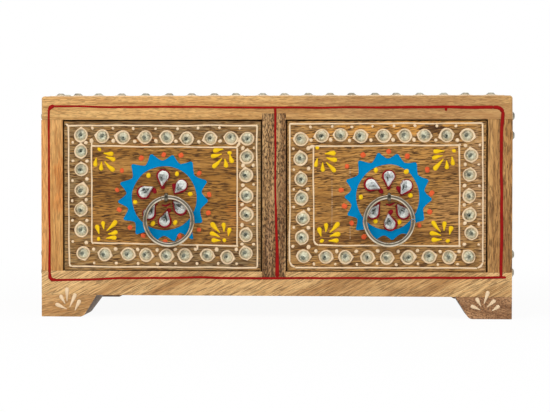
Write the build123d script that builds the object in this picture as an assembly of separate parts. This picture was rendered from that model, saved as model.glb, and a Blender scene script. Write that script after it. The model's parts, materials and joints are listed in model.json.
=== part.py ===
from build123d import *
import math
import os

# A wooden jewellery box: a five-board case on four feet, two drawers side by side, ring pulls on
# split pins, and flat-backed stones glued to the drawer fronts, the top and the sides.
# Millimetres. X is right, Y is back and Z is up. The origin is the middle of the footprint.

# Case boards
case_width = 260.0
case_depth = 150.0
top_thickness = 13.1
bottom_thickness = 13.5
left_side_thickness = 12.0
right_side_thickness = 13.4
divider_thickness = 13.15
left_bay_width = 111.0
bay_height = 83.8
housing_depth = 3.4
edge_round = 1.7

# Back panel in its rebate
panel_thickness = 5.0
rebate_width = 4.0
panel_clearance = 0.2

# Feet, which taper on their two inner sides
foot_height = 12.1
foot_top_width = 30.8
foot_top_depth = 36.5
foot_bottom_width = 23.3
foot_bottom_depth = 21.5
foot_round = 3.5

# Hidden dowels between the side boards and the top and bottom boards
dowel_diameter = 5.0
dowel_length = 16.0
dowel_end_inset = 20.0
dowels_per_edge = 3

# Screws up through the feet
screw_diameter = 3.5
screw_length = 20.0
screw_head_diameter = 6.6
screw_head_sink = 0.4
screw_slot_width = 0.9
screw_slot_length = 3.6
screw_slot_depth = 1.0

# Panel pins
pin_diameter = 1.3
pin_head_diameter = 2.6
pin_head_thickness = 0.5
panel_pin_length = 14.0
panel_pins_per_row = 6
panel_pins_per_column = 4

# Drawers
drawer_side_gap = 0.65
drawer_top_gap = 0.7
drawer_bottom_gap = 0.3
drawer_recess = 0.5
drawer_back_gap = 0.4
drawer_front_thickness = 11.0
drawer_front_round = 0.8
drawer_lip = 5.0
drawer_wall_thickness = 7.0
drawer_wall_inset = 0.35
drawer_floor_thickness = 3.0
drawer_floor_height = 4.0
drawer_groove_depth = 3.0
drawer_floor_clearance = 0.2
drawer_pin_length = 18.0
drawer_pin_end = 17.0
drawer_floor_pin_length = 12.0
drawer_floor_pin_end = 14.0
drawer_floor_pins_per_drawer = 3
lining_thickness = 1.0
lining_margin = 0.4

# Stones
stone_diameter = 6.2
stone_girdle = 0.5
stone_height = 2.0
petal_width = 6.6
petal_length = 9.4
petal_tip_round = 0.5
petal_girdle = 0.7
petal_height = 2.2
petal_table_share = 0.5
petal_ring_radius = 11.3
even_petal_angles = (90, 30, -30, -90, 210, 150)

# Stone rows were laid by eye. Each stone has how far it slipped along its row from an even step, and
# how far it stands above or right of the row's true line. The corner stones belong to the top and
# bottom rows.
drawer_stone_inset = 8.5
left_drawer_rows = {
    "top": ((1.1, 0.8), (1.4, 0.0), (1.5, -0.5), (2.3, -0.4), (2.6, -0.5), (2.2, -1.3), (3.6, -1.2),
            (3.4, -0.9), (0.9, -1.1)),
    "bottom": ((2.4, 0.9), (2.8, 0.4), (4.2, 0.4), (2.7, 0.1), (2.4, -0.2), (1.1, 0.0), (2.0, 0.0),
               (1.5, -1.0), (0.1, 1.2)),
    "left": ((2.8, 1.4), (3.4, 1.0), (3.0, 1.3), (3.6, 1.2), (2.7, 1.2)),
    "right": ((0.3, 0.2), (0.6, 0.4), (0.1, 0.5), (0.5, 0.2), (-0.3, 0.6)),
}
right_drawer_rows = {
    "top": ((-0.9, -1.6), (-1.0, 0.3), (-2.2, 0.8), (-2.6, 0.0), (-1.7, 0.3), (-1.6, 0.3), (-2.3, 0.5),
            (-1.7, 0.4), (-2.1, 0.3)),
    "bottom": ((0.8, -0.4), (1.3, -0.5), (0.7, -0.6), (1.1, -0.7), (0.3, -0.8), (0.3, -0.6), (0.5, -0.3),
               (-0.4, -0.3), (-1.1, 0.0)),
    "left": ((-1.1, -0.4), (-1.4, 0.1), (-1.1, -0.7), (-1.6, -0.7), (-1.3, -1.2)),
    "right": ((1.6, 0.3), (0.9, -0.7), (0.3, -0.8), (0.9, -0.8), (0.5, 0.0)),
}

# Stones on the top and in the corners of the sides
top_stone_inset = 10.1
row_wander = 0.3
top_stones_per_side = 11
top_front_slips = (-0.9, -3.5, -4.7, -4.6, -3.7, -3.4, -2.9, -2.9, -3.1, -1.3,
                   -1.2, -0.6, -1.5, -1.9, -1.7, -2.3, -2.0, -1.7, -2.7, -0.9)
top_motif_spread = 60.0
side_stone_inset = 10.0
side_row_inset = 11.9
side_stone_step = 10.3
side_motif_lift = 0.7

# The middle of each drawer's painted motif, from the middle of its front, and its petal stones. Each
# has the angle and radius of its place, and the way that its round end points.
left_motif = (1.75, -1.2)
right_motif = (1.2, -0.8)
left_petals = ((96, 10.9, 82), (37, 10.3, 52), (-32, 9.0, -49),
               (-90, 11.4, -105), (221, 11.2, 234), (160, 11.3, 206))
right_petals = ((88, 10.3, 84), (31, 10.8, 58), (-44, 10.3, -56),
                (-87, 13.1, -80), (222, 10.6, 234), (142, 10.7, 155))

# Ring pulls on split pins, which stand a little off the motif's middle
left_pull = (2.95, -0.8)
right_pull = (1.4, -0.4)
ring_diameter = 28.8
ring_wire = 2.6
ring_joint_gap = 0.25
ring_stone_gap = 0.85
left_ring_lean = 5.5
right_ring_lean = 0.0
left_ring_joint = 108.0
right_ring_joint = 4.0
eye_clearance = 0.25
eye_wire = 1.0
eye_width = 2.0
shank_diameter = 2.2
leg_length = 9.0
leg_thickness = 1.0
leg_end_round = 0.9

# Tools that open a face reach this far past it
cut_reach = 1.0

# Places that follow from the sizes
ring_radius = (ring_diameter - ring_wire) / 2
eye_hole_radius = ring_wire / 2 + eye_clearance
eye_radius = eye_hole_radius + eye_wire
pull_standoff = petal_height + ring_stone_gap + ring_wire / 2
front_reach = pull_standoff + eye_radius - drawer_recess

case_left = -case_width / 2
case_right = case_width / 2
case_front = (front_reach - case_depth) / 2
case_back = case_front + case_depth
case_middle = (case_front + case_back) / 2
bay_floor = foot_height + bottom_thickness
bay_ceiling = bay_floor + bay_height
case_top = bay_ceiling + top_thickness
left_bay = (case_left + left_side_thickness, case_left + left_side_thickness + left_bay_width)
right_bay = (left_bay[1] + divider_thickness, case_right - right_side_thickness)
panel_front = case_back - panel_thickness

nodes = {}


def block(x, y, z):
    """A box between the low and high value on each axis."""
    size = [high - low for low, high in (x, y, z)]
    middle = [(high + low) / 2 for low, high in (x, y, z)]
    return Pos(*middle) * Box(*size)


def along(low, high, count):
    """Evenly spaced places from low to high, both ends included."""
    return [low + (high - low) * i / (count - 1) for i in range(count)]


def keep(node, *shapes):
    """Files solids under a node's name."""
    nodes.setdefault(node, []).extend(shapes)


def drill(boards, *tools):
    """Cuts every tool out of every board named, so that the tool fits its hole."""
    for board in boards:
        for tool in tools:
            nodes[board] = [solid - tool for solid in nodes[board]]


# Fasteners


def pin(length):
    """A panel pin that points along +Z with its head's flat at the origin."""
    shank = Pos(0, 0, length / 2) * Cylinder(pin_diameter / 2, length)
    head = Pos(0, 0, pin_head_thickness / 2) * Cylinder(pin_head_diameter / 2, pin_head_thickness)
    return shank + head


def screw():
    """A countersunk screw that points along +Z, with its head's flat at the origin."""
    head_depth = (screw_head_diameter - screw_diameter) / 2
    shank = Pos(0, 0, screw_length / 2) * Cylinder(screw_diameter / 2, screw_length)
    head = Pos(0, 0, head_depth / 2) * Cone(screw_head_diameter / 2, screw_diameter / 2, head_depth)
    return shank + head


def screw_slots():
    """The cross recess in a screw's head."""
    cross = Box(screw_slot_length, screw_slot_width, 2 * screw_slot_depth)
    return cross + Rot(0, 0, 90) * cross


def screw_sink():
    """The clear space under a sunk screw head."""
    return Pos(0, 0, -screw_head_sink / 2) * Cylinder(screw_head_diameter / 2, screw_head_sink)


# Stones


def round_stone():
    """A flat-backed domed stone that stands on XY."""
    radius = stone_diameter / 2
    rise = stone_height - stone_girdle
    ball = (radius**2 + rise**2) / (2 * rise)
    half = math.asin(radius / ball) / 2
    shoulder = (ball * math.sin(half), stone_height - ball + ball * math.cos(half))
    edge = Polyline((0, stone_height), (0, 0), (radius, 0), (radius, stone_girdle))
    dome = ThreePointArc((radius, stone_girdle), shoulder, (0, stone_height))
    return revolve(Plane.XZ * make_face([edge, dome]), Axis.Z)


def petal_outline(share):
    """A drop-shaped face on XY, its point towards -X, at a share of its full size."""
    round_end = petal_width / 2 * share
    tip = petal_tip_round * share
    span = petal_length * share - round_end - tip
    turn = math.degrees(math.acos((round_end - tip) / span))
    middle = (petal_length * share) / 2 - round_end
    ends = {}
    for name, centre, radius in (("round", middle, round_end), ("tip", middle - span, tip)):
        for side in (1, -1):
            bend = math.radians(180 - turn) * side
            ends[name, side] = (centre + radius * math.cos(bend), radius * math.sin(bend))
    sides = [Line(ends["round", side], ends["tip", side]) for side in (1, -1)]
    round_arc = ThreePointArc(ends["round", 1], (middle + round_end, 0), ends["round", -1])
    tip_arc = ThreePointArc(ends["tip", 1], (middle - span - tip, 0), ends["tip", -1])
    return make_face([*sides, round_arc, tip_arc])


def petal_stone():
    """A drop-shaped stone with a bevelled crown that stands on XY."""
    girdle = extrude(petal_outline(1), petal_girdle)
    table = Pos(0, 0, petal_height) * petal_outline(petal_table_share)
    crown = loft([Pos(0, 0, petal_girdle) * petal_outline(1), table], ruled=True)
    return girdle + crown


def petal_ring(face, petals):
    """Petal stones in a ring on a face, each with its point about inwards."""
    return [face * Rot(0, 0, angle) * Pos(radius, 0, 0) * Rot(0, 0, aim - angle) * petal_stone()
            for angle, radius, aim in petals]


def even_petals():
    """Six petals with their points to the middle."""
    return [(angle, petal_ring_radius, angle) for angle in even_petal_angles]


def wander(step):
    """The small sideways drift of a row laid by eye."""
    return row_wander * math.sin(1.9 * step + 0.7)


# Case


def rebate_space():
    """The rebate round the back of the case, which the panel drops into."""
    return block(
        (left_bay[0] - rebate_width, right_bay[1] + rebate_width),
        (panel_front, case_back),
        (bay_floor - rebate_width, bay_ceiling + rebate_width),
    )


def case_boards():
    """The five boards, with the divider housed in the top and bottom boards."""
    divider = block(
        (left_bay[1], right_bay[0]),
        (case_front, panel_front),
        (bay_floor - housing_depth, bay_ceiling + housing_depth),
    )
    across = (case_left, case_right)
    deep = (case_front, case_back)
    top = block(across, deep, (bay_ceiling, case_top))
    crest = top.edges().group_by(Axis.Z)[-1] + top.edges().filter_by(Axis.Z)
    top = fillet(crest, edge_round)
    bottom = block(across, deep, (foot_height, bay_floor))
    sides_up = (bay_floor, bay_ceiling)
    keep("top_board", top - divider - rebate_space())
    keep("bottom_board", bottom - divider - rebate_space())
    keep("left_side_board", block((case_left, left_bay[0]), deep, sides_up) - rebate_space())
    keep("right_side_board", block((right_bay[1], case_right), deep, sides_up) - rebate_space())
    keep("centre_divider", divider)


def back_panel():
    """The thin back, loose in its rebate by the panel clearance, and the pins round its edge."""
    slack = rebate_width - panel_clearance
    across = (left_bay[0] - slack, right_bay[1] + slack)
    up = (bay_floor - slack, bay_ceiling + slack)
    keep("back_panel", block(across, (panel_front, case_back), up))
    inset = slack / 2
    columns = along(across[0] + inset, across[1] - inset, panel_pins_per_row)
    rows = along(up[0] + inset, up[1] - inset, panel_pins_per_column)
    places = [(x, z) for x in columns for z in rows
              if x in (columns[0], columns[-1]) or z in (rows[0], rows[-1])]
    pins = [Pos(x, case_back, z) * Rot(90, 0, 0) * pin(panel_pin_length) for x, z in places]
    keep("back_panel_pins", *pins)
    boards = ["top_board", "bottom_board", "left_side_board", "right_side_board", "centre_divider"]
    drill(["back_panel", *boards], *pins)


def dowels():
    """Dowels across the four seams between the side boards and the top and bottom boards."""
    side_middles = ((case_left + left_bay[0]) / 2, (case_right + right_bay[1]) / 2)
    deep = along(case_front + dowel_end_inset, case_back - dowel_end_inset, dowels_per_edge)
    for seam, board in ((bay_floor, "bottom_board"), (bay_ceiling, "top_board")):
        for x, side in zip(side_middles, ("left_side_board", "right_side_board")):
            pegs = [Pos(x, y, seam) * Cylinder(dowel_diameter / 2, dowel_length) for y in deep]
            keep("case_dowels", *pegs)
            drill([board, side], *pegs)


def foot_level(x_corner, y_corner, x_way, y_way, width, depth, height):
    """One level face of a foot, flush with the case's corner and reaching inwards."""
    middle = (x_corner + x_way * width / 2, y_corner + y_way * depth / 2, height)
    return Pos(*middle) * Rectangle(width, depth)


def feet():
    """Four tapered feet, flush with the case's outer corners, each held by one screw."""
    for end, y_corner, y_way in (("front", case_front, 1), ("rear", case_back, -1)):
        for side, x_corner, x_way in (("left", case_left, 1), ("right", case_right, -1)):
            corner = (x_corner, y_corner, x_way, y_way)
            sole = foot_level(*corner, foot_bottom_width, foot_bottom_depth, 0)
            seat = foot_level(*corner, foot_top_width, foot_top_depth, foot_height)
            foot = loft([sole, seat], ruled=True)
            low = foot.edges().group_by(Axis.Z)[0]
            inner = [low.sort_by(Axis.X)[-1 if x_way > 0 else 0],
                     low.sort_by(Axis.Y)[-1 if y_way > 0 else 0]]
            foot = fillet(inner, foot_round)
            middle = sole.center()
            place = Pos(middle.X, middle.Y, screw_head_sink)
            node = f"{end}_{side}_foot"
            keep(node, foot)
            drill([node], place * screw(), place * screw_sink())
            drill(["bottom_board"], place * screw())
            keep("foot_screws", place * (screw() - screw_slots()))


def top_stones():
    """The border of stones and the two petal rings on the top board."""
    face = Pos(0, case_middle, case_top)
    half_x = case_width / 2 - top_stone_inset
    half_y = case_depth / 2 - top_stone_inset
    steps = along(-half_x, half_x, len(top_front_slips))
    slipped = [x + slip for x, slip in zip(steps, top_front_slips)]
    places = [(x, -half_y + wander(i)) for i, x in enumerate(slipped)]
    places += [(-x, half_y + wander(i + 3)) for i, x in enumerate(slipped)]
    places += [(side * half_x + wander(i - side), y) for side in (-1, 1)
               for i, y in enumerate(along(-half_y, half_y, top_stones_per_side)[1:-1])]
    keep("top_border_stones", *[face * Pos(x, y, 0) * round_stone() for x, y in places])
    for x in (-top_motif_spread, top_motif_spread):
        keep("top_petal_stones", *petal_ring(face * Pos(x, 0, 0), even_petals()))


def side_stones():
    """Four stones in an L in each corner, and one petal ring, on each outer side."""
    middle_z = (case_top + foot_height) / 2 + side_motif_lift
    half_u = case_depth / 2 - side_stone_inset
    half_v = (case_top - foot_height) / 2 - side_row_inset
    corner = [(0, 0), (side_stone_step, 0), (2 * side_stone_step, 0), (0, side_stone_step)]
    for side, x, turn in (("left", case_left, -90), ("right", case_right, 90)):
        face = Pos(x, case_middle, middle_z) * Rot(0, 0, turn) * Rot(90, 0, 0)
        places = [(u * (half_u - du), v * (half_v - dv)) for u in (-1, 1) for v in (-1, 1)
                  for du, dv in corner]
        stones = [face * Pos(u + wander(i), v + wander(i + 4), 0) * round_stone()
                  for i, (u, v) in enumerate(places)]
        keep(f"{side}_side_stones", *stones)
        keep(f"{side}_side_petal_stones", *petal_ring(face, even_petals()))


# Drawers


def drawer_walls(name, x, y, z):
    """The front, sides, back, floor and lining of one drawer, between the values on each axis."""
    front = block(x, (y[0], y[0] + drawer_front_thickness), z)
    front = fillet(front.edges().group_by(Axis.Y)[0], drawer_front_round)
    outer = (x[0] + drawer_wall_inset, x[1] - drawer_wall_inset)
    inner = (outer[0] + drawer_wall_thickness, outer[1] - drawer_wall_thickness)
    shoulder = y[0] + drawer_lip
    front_back = y[0] + drawer_front_thickness
    for low, high in ((x[0] - cut_reach, inner[0]), (inner[1], x[1] + cut_reach)):
        front -= block((low, high), (shoulder, y[1]), (z[0] - cut_reach, z[1] + cut_reach))
    floor_low = z[0] + drawer_floor_height
    floor_high = floor_low + drawer_floor_thickness
    reach = drawer_groove_depth - drawer_floor_clearance
    groove = block(
        (inner[0] - drawer_groove_depth, inner[1] + drawer_groove_depth),
        (front_back - drawer_groove_depth, y[1] + cut_reach),
        (floor_low, floor_high),
    )
    floor = block((inner[0] - reach, inner[1] + reach), (front_back - reach, y[1]), (floor_low, floor_high))
    back_front = y[1] - drawer_wall_thickness
    keep(f"{name}_front", front - groove)
    keep(f"{name}_left_side", block((outer[0], inner[0]), (shoulder, y[1]), z) - groove)
    keep(f"{name}_right_side", block((inner[1], outer[1]), (shoulder, y[1]), z) - groove)
    keep(f"{name}_back", block(inner, (back_front, y[1]), (floor_high, z[1])))
    keep(f"{name}_bottom", floor)
    lining_x = (inner[0] + lining_margin, inner[1] - lining_margin)
    lining_y = (front_back + lining_margin, back_front - lining_margin)
    keep(f"{name}_lining", block(lining_x, lining_y, (floor_high, floor_high + lining_thickness)))
    drawer_pins(name, outer, (shoulder + front_back) / 2, (back_front + y[1]) / 2, floor_low, z)


def drawer_pins(name, outer, front_y, back_y, floor_low, z):
    """Pins through each side into the front and back, and up through the floor into the back."""
    heights = (z[0] + drawer_pin_end, z[1] - drawer_pin_end)
    for x, turn, side in ((outer[0], 90, "left_side"), (outer[1], -90, "right_side")):
        for y, board in ((front_y, "front"), (back_y, "back")):
            pins = [Pos(x, y, h) * Rot(0, turn, 0) * pin(drawer_pin_length) for h in heights]
            keep(f"{name}_pins", *pins)
            drill([f"{name}_{side}", f"{name}_{board}"], *pins)
    ends = (outer[0] + drawer_floor_pin_end, outer[1] - drawer_floor_pin_end)
    places = along(*ends, drawer_floor_pins_per_drawer)
    pins = [Pos(x, back_y, floor_low) * pin(drawer_floor_pin_length) for x in places]
    keep(f"{name}_pins", *pins)
    drill([f"{name}_bottom", f"{name}_back"], *pins)


def drawer_stones(name, face, width, height, rows):
    """The border of stones on one drawer front."""
    half_u = width / 2 - drawer_stone_inset
    half_v = height / 2 - drawer_stone_inset
    places = []
    for row, side in (("top", half_v), ("bottom", -half_v)):
        steps = along(-half_u, half_u, len(rows[row]))
        places += [(step + slip, side + drift) for step, (slip, drift) in zip(steps, rows[row])]
    for row, side in (("left", -half_u), ("right", half_u)):
        steps = along(-half_v, half_v, len(rows[row]) + 2)[1:-1]
        places += [(side + drift, step + slip) for step, (slip, drift) in zip(steps, rows[row])]
    keep(f"{name}_border_stones", *[face * Pos(u, v, 0) * round_stone() for u, v in places])


def eye():
    """The round eye of a split pin, its hole along X, centred on the origin."""
    return Rot(0, 90, 0) * (Cylinder(eye_radius, eye_width) - Cylinder(eye_hole_radius, eye_width))


def ring_pull(name, ring_name, face, lean, joint):
    """A split pin through the drawer front, its legs bent over inside, and the ring in its eye."""
    shank_top = pull_standoff - (eye_hole_radius + eye_radius) / 2
    shank_span = shank_top + drawer_front_thickness
    shank = Pos(0, 0, shank_top - shank_span / 2) * Cylinder(shank_diameter / 2, shank_span)
    leg = Pos(0, 0, -drawer_front_thickness - leg_thickness / 2) * Box(eye_width, 2 * leg_length, leg_thickness)
    leg = fillet(leg.edges().filter_by(Axis.Z), leg_end_round)
    bore = Rot(0, 90, 0) * Cylinder(eye_hole_radius, 2 * eye_width)
    hub = Pos(0, 0, pull_standoff)
    keep(f"{name}_split_pin", face * (hub * eye() + (shank - hub * bore) + leg))
    drill([f"{name}_front"], face * shank)
    gap = Box(2 * ring_wire, ring_joint_gap, 2 * ring_wire)
    ring = Torus(ring_radius, ring_wire / 2) - Rot(0, 0, joint) * Pos(ring_radius, 0, 0) * gap
    keep(ring_name, face * hub * Rot(0, 0, lean) * Pos(0, -ring_radius, 0) * Rot(0, 0, -lean) * ring)


def drawer(side, bay, rows, motif, petals, pull, lean, joint):
    """One drawer with its stones and its pull."""
    x = (bay[0] + drawer_side_gap, bay[1] - drawer_side_gap)
    y = (case_front + drawer_recess, panel_front - drawer_back_gap)
    z = (bay_floor + drawer_bottom_gap, bay_ceiling - drawer_top_gap)
    name = f"{side}_drawer"
    face = Pos((x[0] + x[1]) / 2, y[0], (z[0] + z[1]) / 2) * Rot(90, 0, 0)
    drawer_walls(name, x, y, z)
    drawer_stones(name, face, x[1] - x[0], z[1] - z[0], rows)
    keep(f"{name}_petal_stones", *petal_ring(face * Pos(*motif, 0), petals))
    ring_pull(name, f"{side}_pull_ring", face * Pos(*pull, 0), lean, joint)


def build():
    """Every node of the box."""
    case_boards()
    back_panel()
    dowels()
    feet()
    top_stones()
    side_stones()
    drawer("left", left_bay, left_drawer_rows, left_motif, left_petals, left_pull,
           left_ring_lean, left_ring_joint)
    drawer("right", right_bay, right_drawer_rows, right_motif, right_petals, right_pull,
           right_ring_lean, right_ring_joint)


build()
os.makedirs("parts", exist_ok=True)
for node, shapes in nodes.items():
    solids = [solid for shape in shapes for solid in shape.solids()]
    export_step(Compound(solids), f"parts/{node}.step")
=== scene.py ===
import functools
import itertools
import json
import math
import random

import bmesh
import bpy
from mathutils import Matrix, Vector, noise

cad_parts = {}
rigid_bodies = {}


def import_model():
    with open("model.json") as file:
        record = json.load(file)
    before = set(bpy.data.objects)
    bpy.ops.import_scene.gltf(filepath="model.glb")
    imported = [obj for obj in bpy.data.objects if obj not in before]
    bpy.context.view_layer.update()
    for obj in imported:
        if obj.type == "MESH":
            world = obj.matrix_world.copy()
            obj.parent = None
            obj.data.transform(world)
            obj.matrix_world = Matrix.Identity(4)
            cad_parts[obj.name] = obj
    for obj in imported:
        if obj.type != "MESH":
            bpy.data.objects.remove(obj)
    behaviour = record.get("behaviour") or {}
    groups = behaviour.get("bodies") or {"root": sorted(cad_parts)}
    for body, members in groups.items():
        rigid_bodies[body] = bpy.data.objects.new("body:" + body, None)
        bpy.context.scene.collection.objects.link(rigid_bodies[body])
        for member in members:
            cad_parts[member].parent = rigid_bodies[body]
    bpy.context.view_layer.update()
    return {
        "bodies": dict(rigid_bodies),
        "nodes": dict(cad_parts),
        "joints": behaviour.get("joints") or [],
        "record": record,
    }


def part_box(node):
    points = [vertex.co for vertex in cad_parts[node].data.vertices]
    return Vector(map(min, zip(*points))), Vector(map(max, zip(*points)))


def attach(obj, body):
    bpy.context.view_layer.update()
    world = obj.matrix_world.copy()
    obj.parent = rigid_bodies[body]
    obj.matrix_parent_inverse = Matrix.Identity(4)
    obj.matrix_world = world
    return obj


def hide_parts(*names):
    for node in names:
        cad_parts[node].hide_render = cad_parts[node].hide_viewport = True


# The looks of a painted mango wood jewellery box with two drawers. Faces are drawn on in millimetres, from
# a point on each face, and everything else is in metres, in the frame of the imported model.

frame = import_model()
nodes = frame["nodes"]
mm = 0.001

# The photograph's view
photo_width = 550
lens_pixels = 1408.3
sensor_width = 36.0
camera_place = (0.04272, -0.84663, 0.07827)
camera_turn = 3.145
camera_drop = 1.216
camera_roll = 0.055

# Softened edges of the boards
board_ease = 0.25
panel_ease = 0.15
longest_unsoftened_edge = 6.0

# Paint
line_rise = 0.35
dot_rise = 0.55
flat_dot_rise = 0.5
fan_rise = 0.55
foot_petal_rise = 0.5
red_line_rise = 0.4
smear_rise = 0.5
hub_smear_rise = 0.3
outline_rise = 0.8
crimson_rise = 1.4
sun_rise = 0.16
paint_sink = 0.05
frame_width = 0.95
side_frame_width = 1.05
slip_rings = 12
foot_petal_width = 2.3
fan_dot_size = 2.3
orange_sizes = (2.7, 3.2)
yellow_sizes = (2.5, 3.0)
square_brush = 0.09
outer_dot_sizes = (1.5, 1.9)
inner_dot_sizes = (2.0, 2.4)

# How far the cream dots between stones lie from the lines of their frame
outer_dot_gaps = {"top": 1.5, "bottom": 2.0, "left": 2.0, "right": 2.0}
inner_dot_gap = 3.0

# Cream outlines: how far from a stone's middle they start, and the radius that their tips run out from
outline_start = 2.92
outline_radius = 3.8

# The red line on the front of the case: each stroke's points, and how wide the brush left it on the way
red_strokes = [
    ([(-123.4, 117.0), (-91.5, 116.4), (-58.0, 116.5), (-24.8, 116.1), (0.1, 116.0), (35.8, 116.0),
      (68.7, 116.0), (93.8, 116.1), (119.5, 116.0)], (1.1, 1.2, 1.1, 1.3, 1.2, 1.5, 1.9)),
    ([(-125.8, 114.9), (-124.8, 116.2), (-122.6, 117.4)], (1.7, 2.4, 2.0)),
    ([(119.0, 116.0), (121.8, 115.9), (123.8, 114.9), (124.7, 113.0)], (1.8, 2.0, 2.2, 2.0)),
    ([(-125.5, 115.4), (-125.7, 103.9), (-125.7, 81.6), (-125.4, 42.7), (-125.5, 24.0)],
     (1.3, 1.1, 1.2, 1.1, 1.6)),
    ([(-125.5, 24.4), (-125.3, 21.9), (-124.4, 20.6), (-121.8, 20.3)], (1.6, 2.0, 2.1, 1.6)),
    ([(-122.8, 20.4), (-108.3, 20.6), (-85.9, 21.5), (-41.3, 22.1), (-19.2, 21.8), (14.0, 22.0),
      (68.9, 22.3), (112.4, 22.8), (126.8, 23.0)], (1.3, 1.2, 1.4, 1.2, 1.3, 1.4)),
    ([(124.6, 113.6), (124.0, 103.5), (123.9, 81.6), (124.2, 65.3), (124.0, 22.8)],
     (2.0, 1.7, 1.6, 1.8, 1.7)),
    ([(0.2, 115.8), (0.3, 92.6), (0.3, 70.6), (0.7, 54.1), (1.3, 37.6), (1.6, 22.4)],
     (1.4, 1.2, 1.1, 1.5, 2.3)),
    ([(93.8, 116.0), (93.7, 113.9)], (2.6, 0.5)),
]

# Cream frames on the drawer fronts, from the middle of each front: the corners from the top left round
# to the right, each with the radius that the brush took it at
outer_frames = {
    "left": ((-52.3, 38.8, 0), (52.6, 38.8, 0), (52.9, -39.6, 0), (-51.9, -39.4, 1.4)),
    "right": ((-53.2, 39.6, 0), (52.3, 40.0, 0), (52.8, -39.3, 3.0), (-53.1, -39.3, 3.0)),
}
inner_frames = {
    "left": ((-39.3, 27.5, 0), (41.9, 26.7, 0), (41.5, -27.6, 0), (-39.2, -26.2, 0)),
    "right": ((-40.1, 27.6, 0), (39.7, 28.1, 0), (40.0, -27.1, 0), (-39.8, -27.1, 2.5)),
}

# Where the brush ran on, thickened or dripped, from the middle of each front
cream_slips = {
    "left": [((-52.2, 38.6), (-53.9, 40.0), (1.7, 0.7)), ((52.0, 38.7), (53.0, 38.5), (1.7, 1.9)),
             ((-39.3, 27.0), (-39.2, 31.8), (0.9, 0.9, 0.9, 1.6)),
             ((-39.4, -26.4), (-38.6, -25.9), (1.9, 1.6)), ((41.4, 26.9), (43.2, 29.4), (1.3, 2.0)),
             ((19.6, -27.0), (19.7, -29.9), (1.5, 0.9)), ((41.0, -27.6), (42.4, -27.7), (1.4, 1.0))],
    "right": [((-39.6, 27.7), (-42.3, 26.7), (2.0, 1.9)), ((39.2, 28.0), (40.6, 28.4), (1.3, 1.9)),
              ((39.6, -27.0), (40.6, -27.6), (1.4, 1.9)), ((-53.2, 39.4), (-52.4, 39.9), (1.6, 1.2))],
}

# Which way the drawn-out tip of each corner stone's outline points: top left, top right, then bottom
corner_tips = {"left": (90, 180, 270, 90), "right": (10, 0, 0, 120)}

# Painted sun round each petal ring, from the ring's middle: its points as (degrees, radius), where its
# inner edge runs on the right, top, left and bottom, and its dots as (radius, degrees)
sun_band = 3.1
sun_point_curve = 1.65
sun_points = {
    "left": ((-176, 26.0), (-153, 25.6), (-129, 25.3), (-104, 24.6), (-77, 24.3), (-55, 27.4), (-32, 24.6),
             (-3, 24.2), (22, 25.3), (53, 25.4), (79, 24.4), (107, 25.6), (134, 26.1), (161, 26.1)),
    "right": ((-157, 24.4), (-135, 25.0), (-108, 24.2), (-85, 23.3), (-58, 23.8), (-32, 22.8), (-2, 23.6),
              (24, 23.7), (52, 24.3), (79, 24.4), (103, 25.2), (129, 26.0), (158, 25.0), (179, 24.1)),
}
sun_edges = {"left": (17.9, 17.9, 18.2, 17.6), "right": (16.7, 18.3, 17.7, 17.8)}
orange_dots = {
    "left": ((25.8, 120), (24.2, 91), (25.6, 69), (23.8, 36), (24.9, 5), (25.6, -18), (25.7, -42),
             (22.6, -68), (24.0, -89), (23.8, -120), (25.1, -140), (26.0, -166), (26.8, 170), (28.3, 147)),
    "right": ((27.3, 121), (25.3, 90), (24.9, 66), (26.1, 36), (23.6, 6), (23.8, -19), (22.6, -42),
              (25.4, -122), (24.6, -145), (24.6, -169), (26.3, 171), (28.6, 143)),
}
yellow_dots = {
    "left": ((15.5, 125), (15.3, 63), (14.5, 10), (16.5, -173), (15.3, -115), (14.6, -66)),
    "right": ((16.6, 115), (17.3, 56), (12.0, 6), (15.2, 179), (14.8, -119), (14.7, -66)),
}

# The middle of each drawer's petal ring, from the middle of its front, and the way that the paint was
# smeared at each petal's point and how far, for the petals in order round the ring, and under each pull
ring_hearts = {"left": (1.33, -1.48), "right": (1.2, -0.8)}
hub_smear = ((-1.6, -3.5), (0.6, -4.2), (3.4, -2.8))
smears = {
    "left": ((60, 1.7), (40, 1.8), (-100, 1.2), (105, 4.2), (-75, 1.4), (-55, 2.6)),
    "right": ((90, 1.5), (50, 2.4), (-120, 1.2), (125, 3.8), (-85, 1.2), (-60, 2.2)),
}

# A fan of five yellow petals for the lower left corner, each from its thin to its fat end, about the
# fan's heart. In each corner: which way is inwards, the corner's dot, and how far in its heart lies.
fan_petals = (((-0.4, -4.3), (4.0, -4.0)), ((0.3, -1.9), (4.9, -0.6)), ((0.1, 0.3), (4.4, 4.8)),
              ((-1.7, 0.8), (-1.9, 4.5)), ((-4.4, -1.6), (-5.3, 2.1)))
fans = {
    "left": (((1, -1), (-35.0, 25.7), (2.9, 6.1)), ((-1, -1), (37.5, 23.8), (4.1, 2.5)),
             ((1, 1), (-35.5, -24.0), (4.6, 4.4)), ((-1, 1), (34.6, -24.5), (2.2, 3.9))),
    "right": (((1, -1), (-38.0, 26.6), (4.7, 7.4)), ((-1, -1), (36.8, 24.9), (5.8, 4.5)),
              ((1, 1), (-35.4, -24.7), (4.0, 4.3)), ((-1, 1), (33.6, -24.4), (3.6, 4.8))),
}

# Cream petals on the front feet, each from its thin to its fat end, on the front of the case
foot_petals = {
    "left": (((-115.8, 4.2), (-121.2, 6.7)), ((-116.7, 7.2), (-119.0, 11.1)), ((-115.7, 8.6), (-115.7, 15.2)),
             ((-114.2, 5.2), (-111.3, 11.9)), ((-111.3, 3.4), (-108.9, 8.4))),
    "right": (((112.8, 5.1), (108.6, 6.9)), ((113.1, 7.0), (111.1, 10.8)), ((114.8, 8.4), (116.8, 14.5)),
              ((116.4, 6.6), (120.1, 9.9)), ((119.2, 4.7), (122.3, 6.8))),
}

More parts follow.
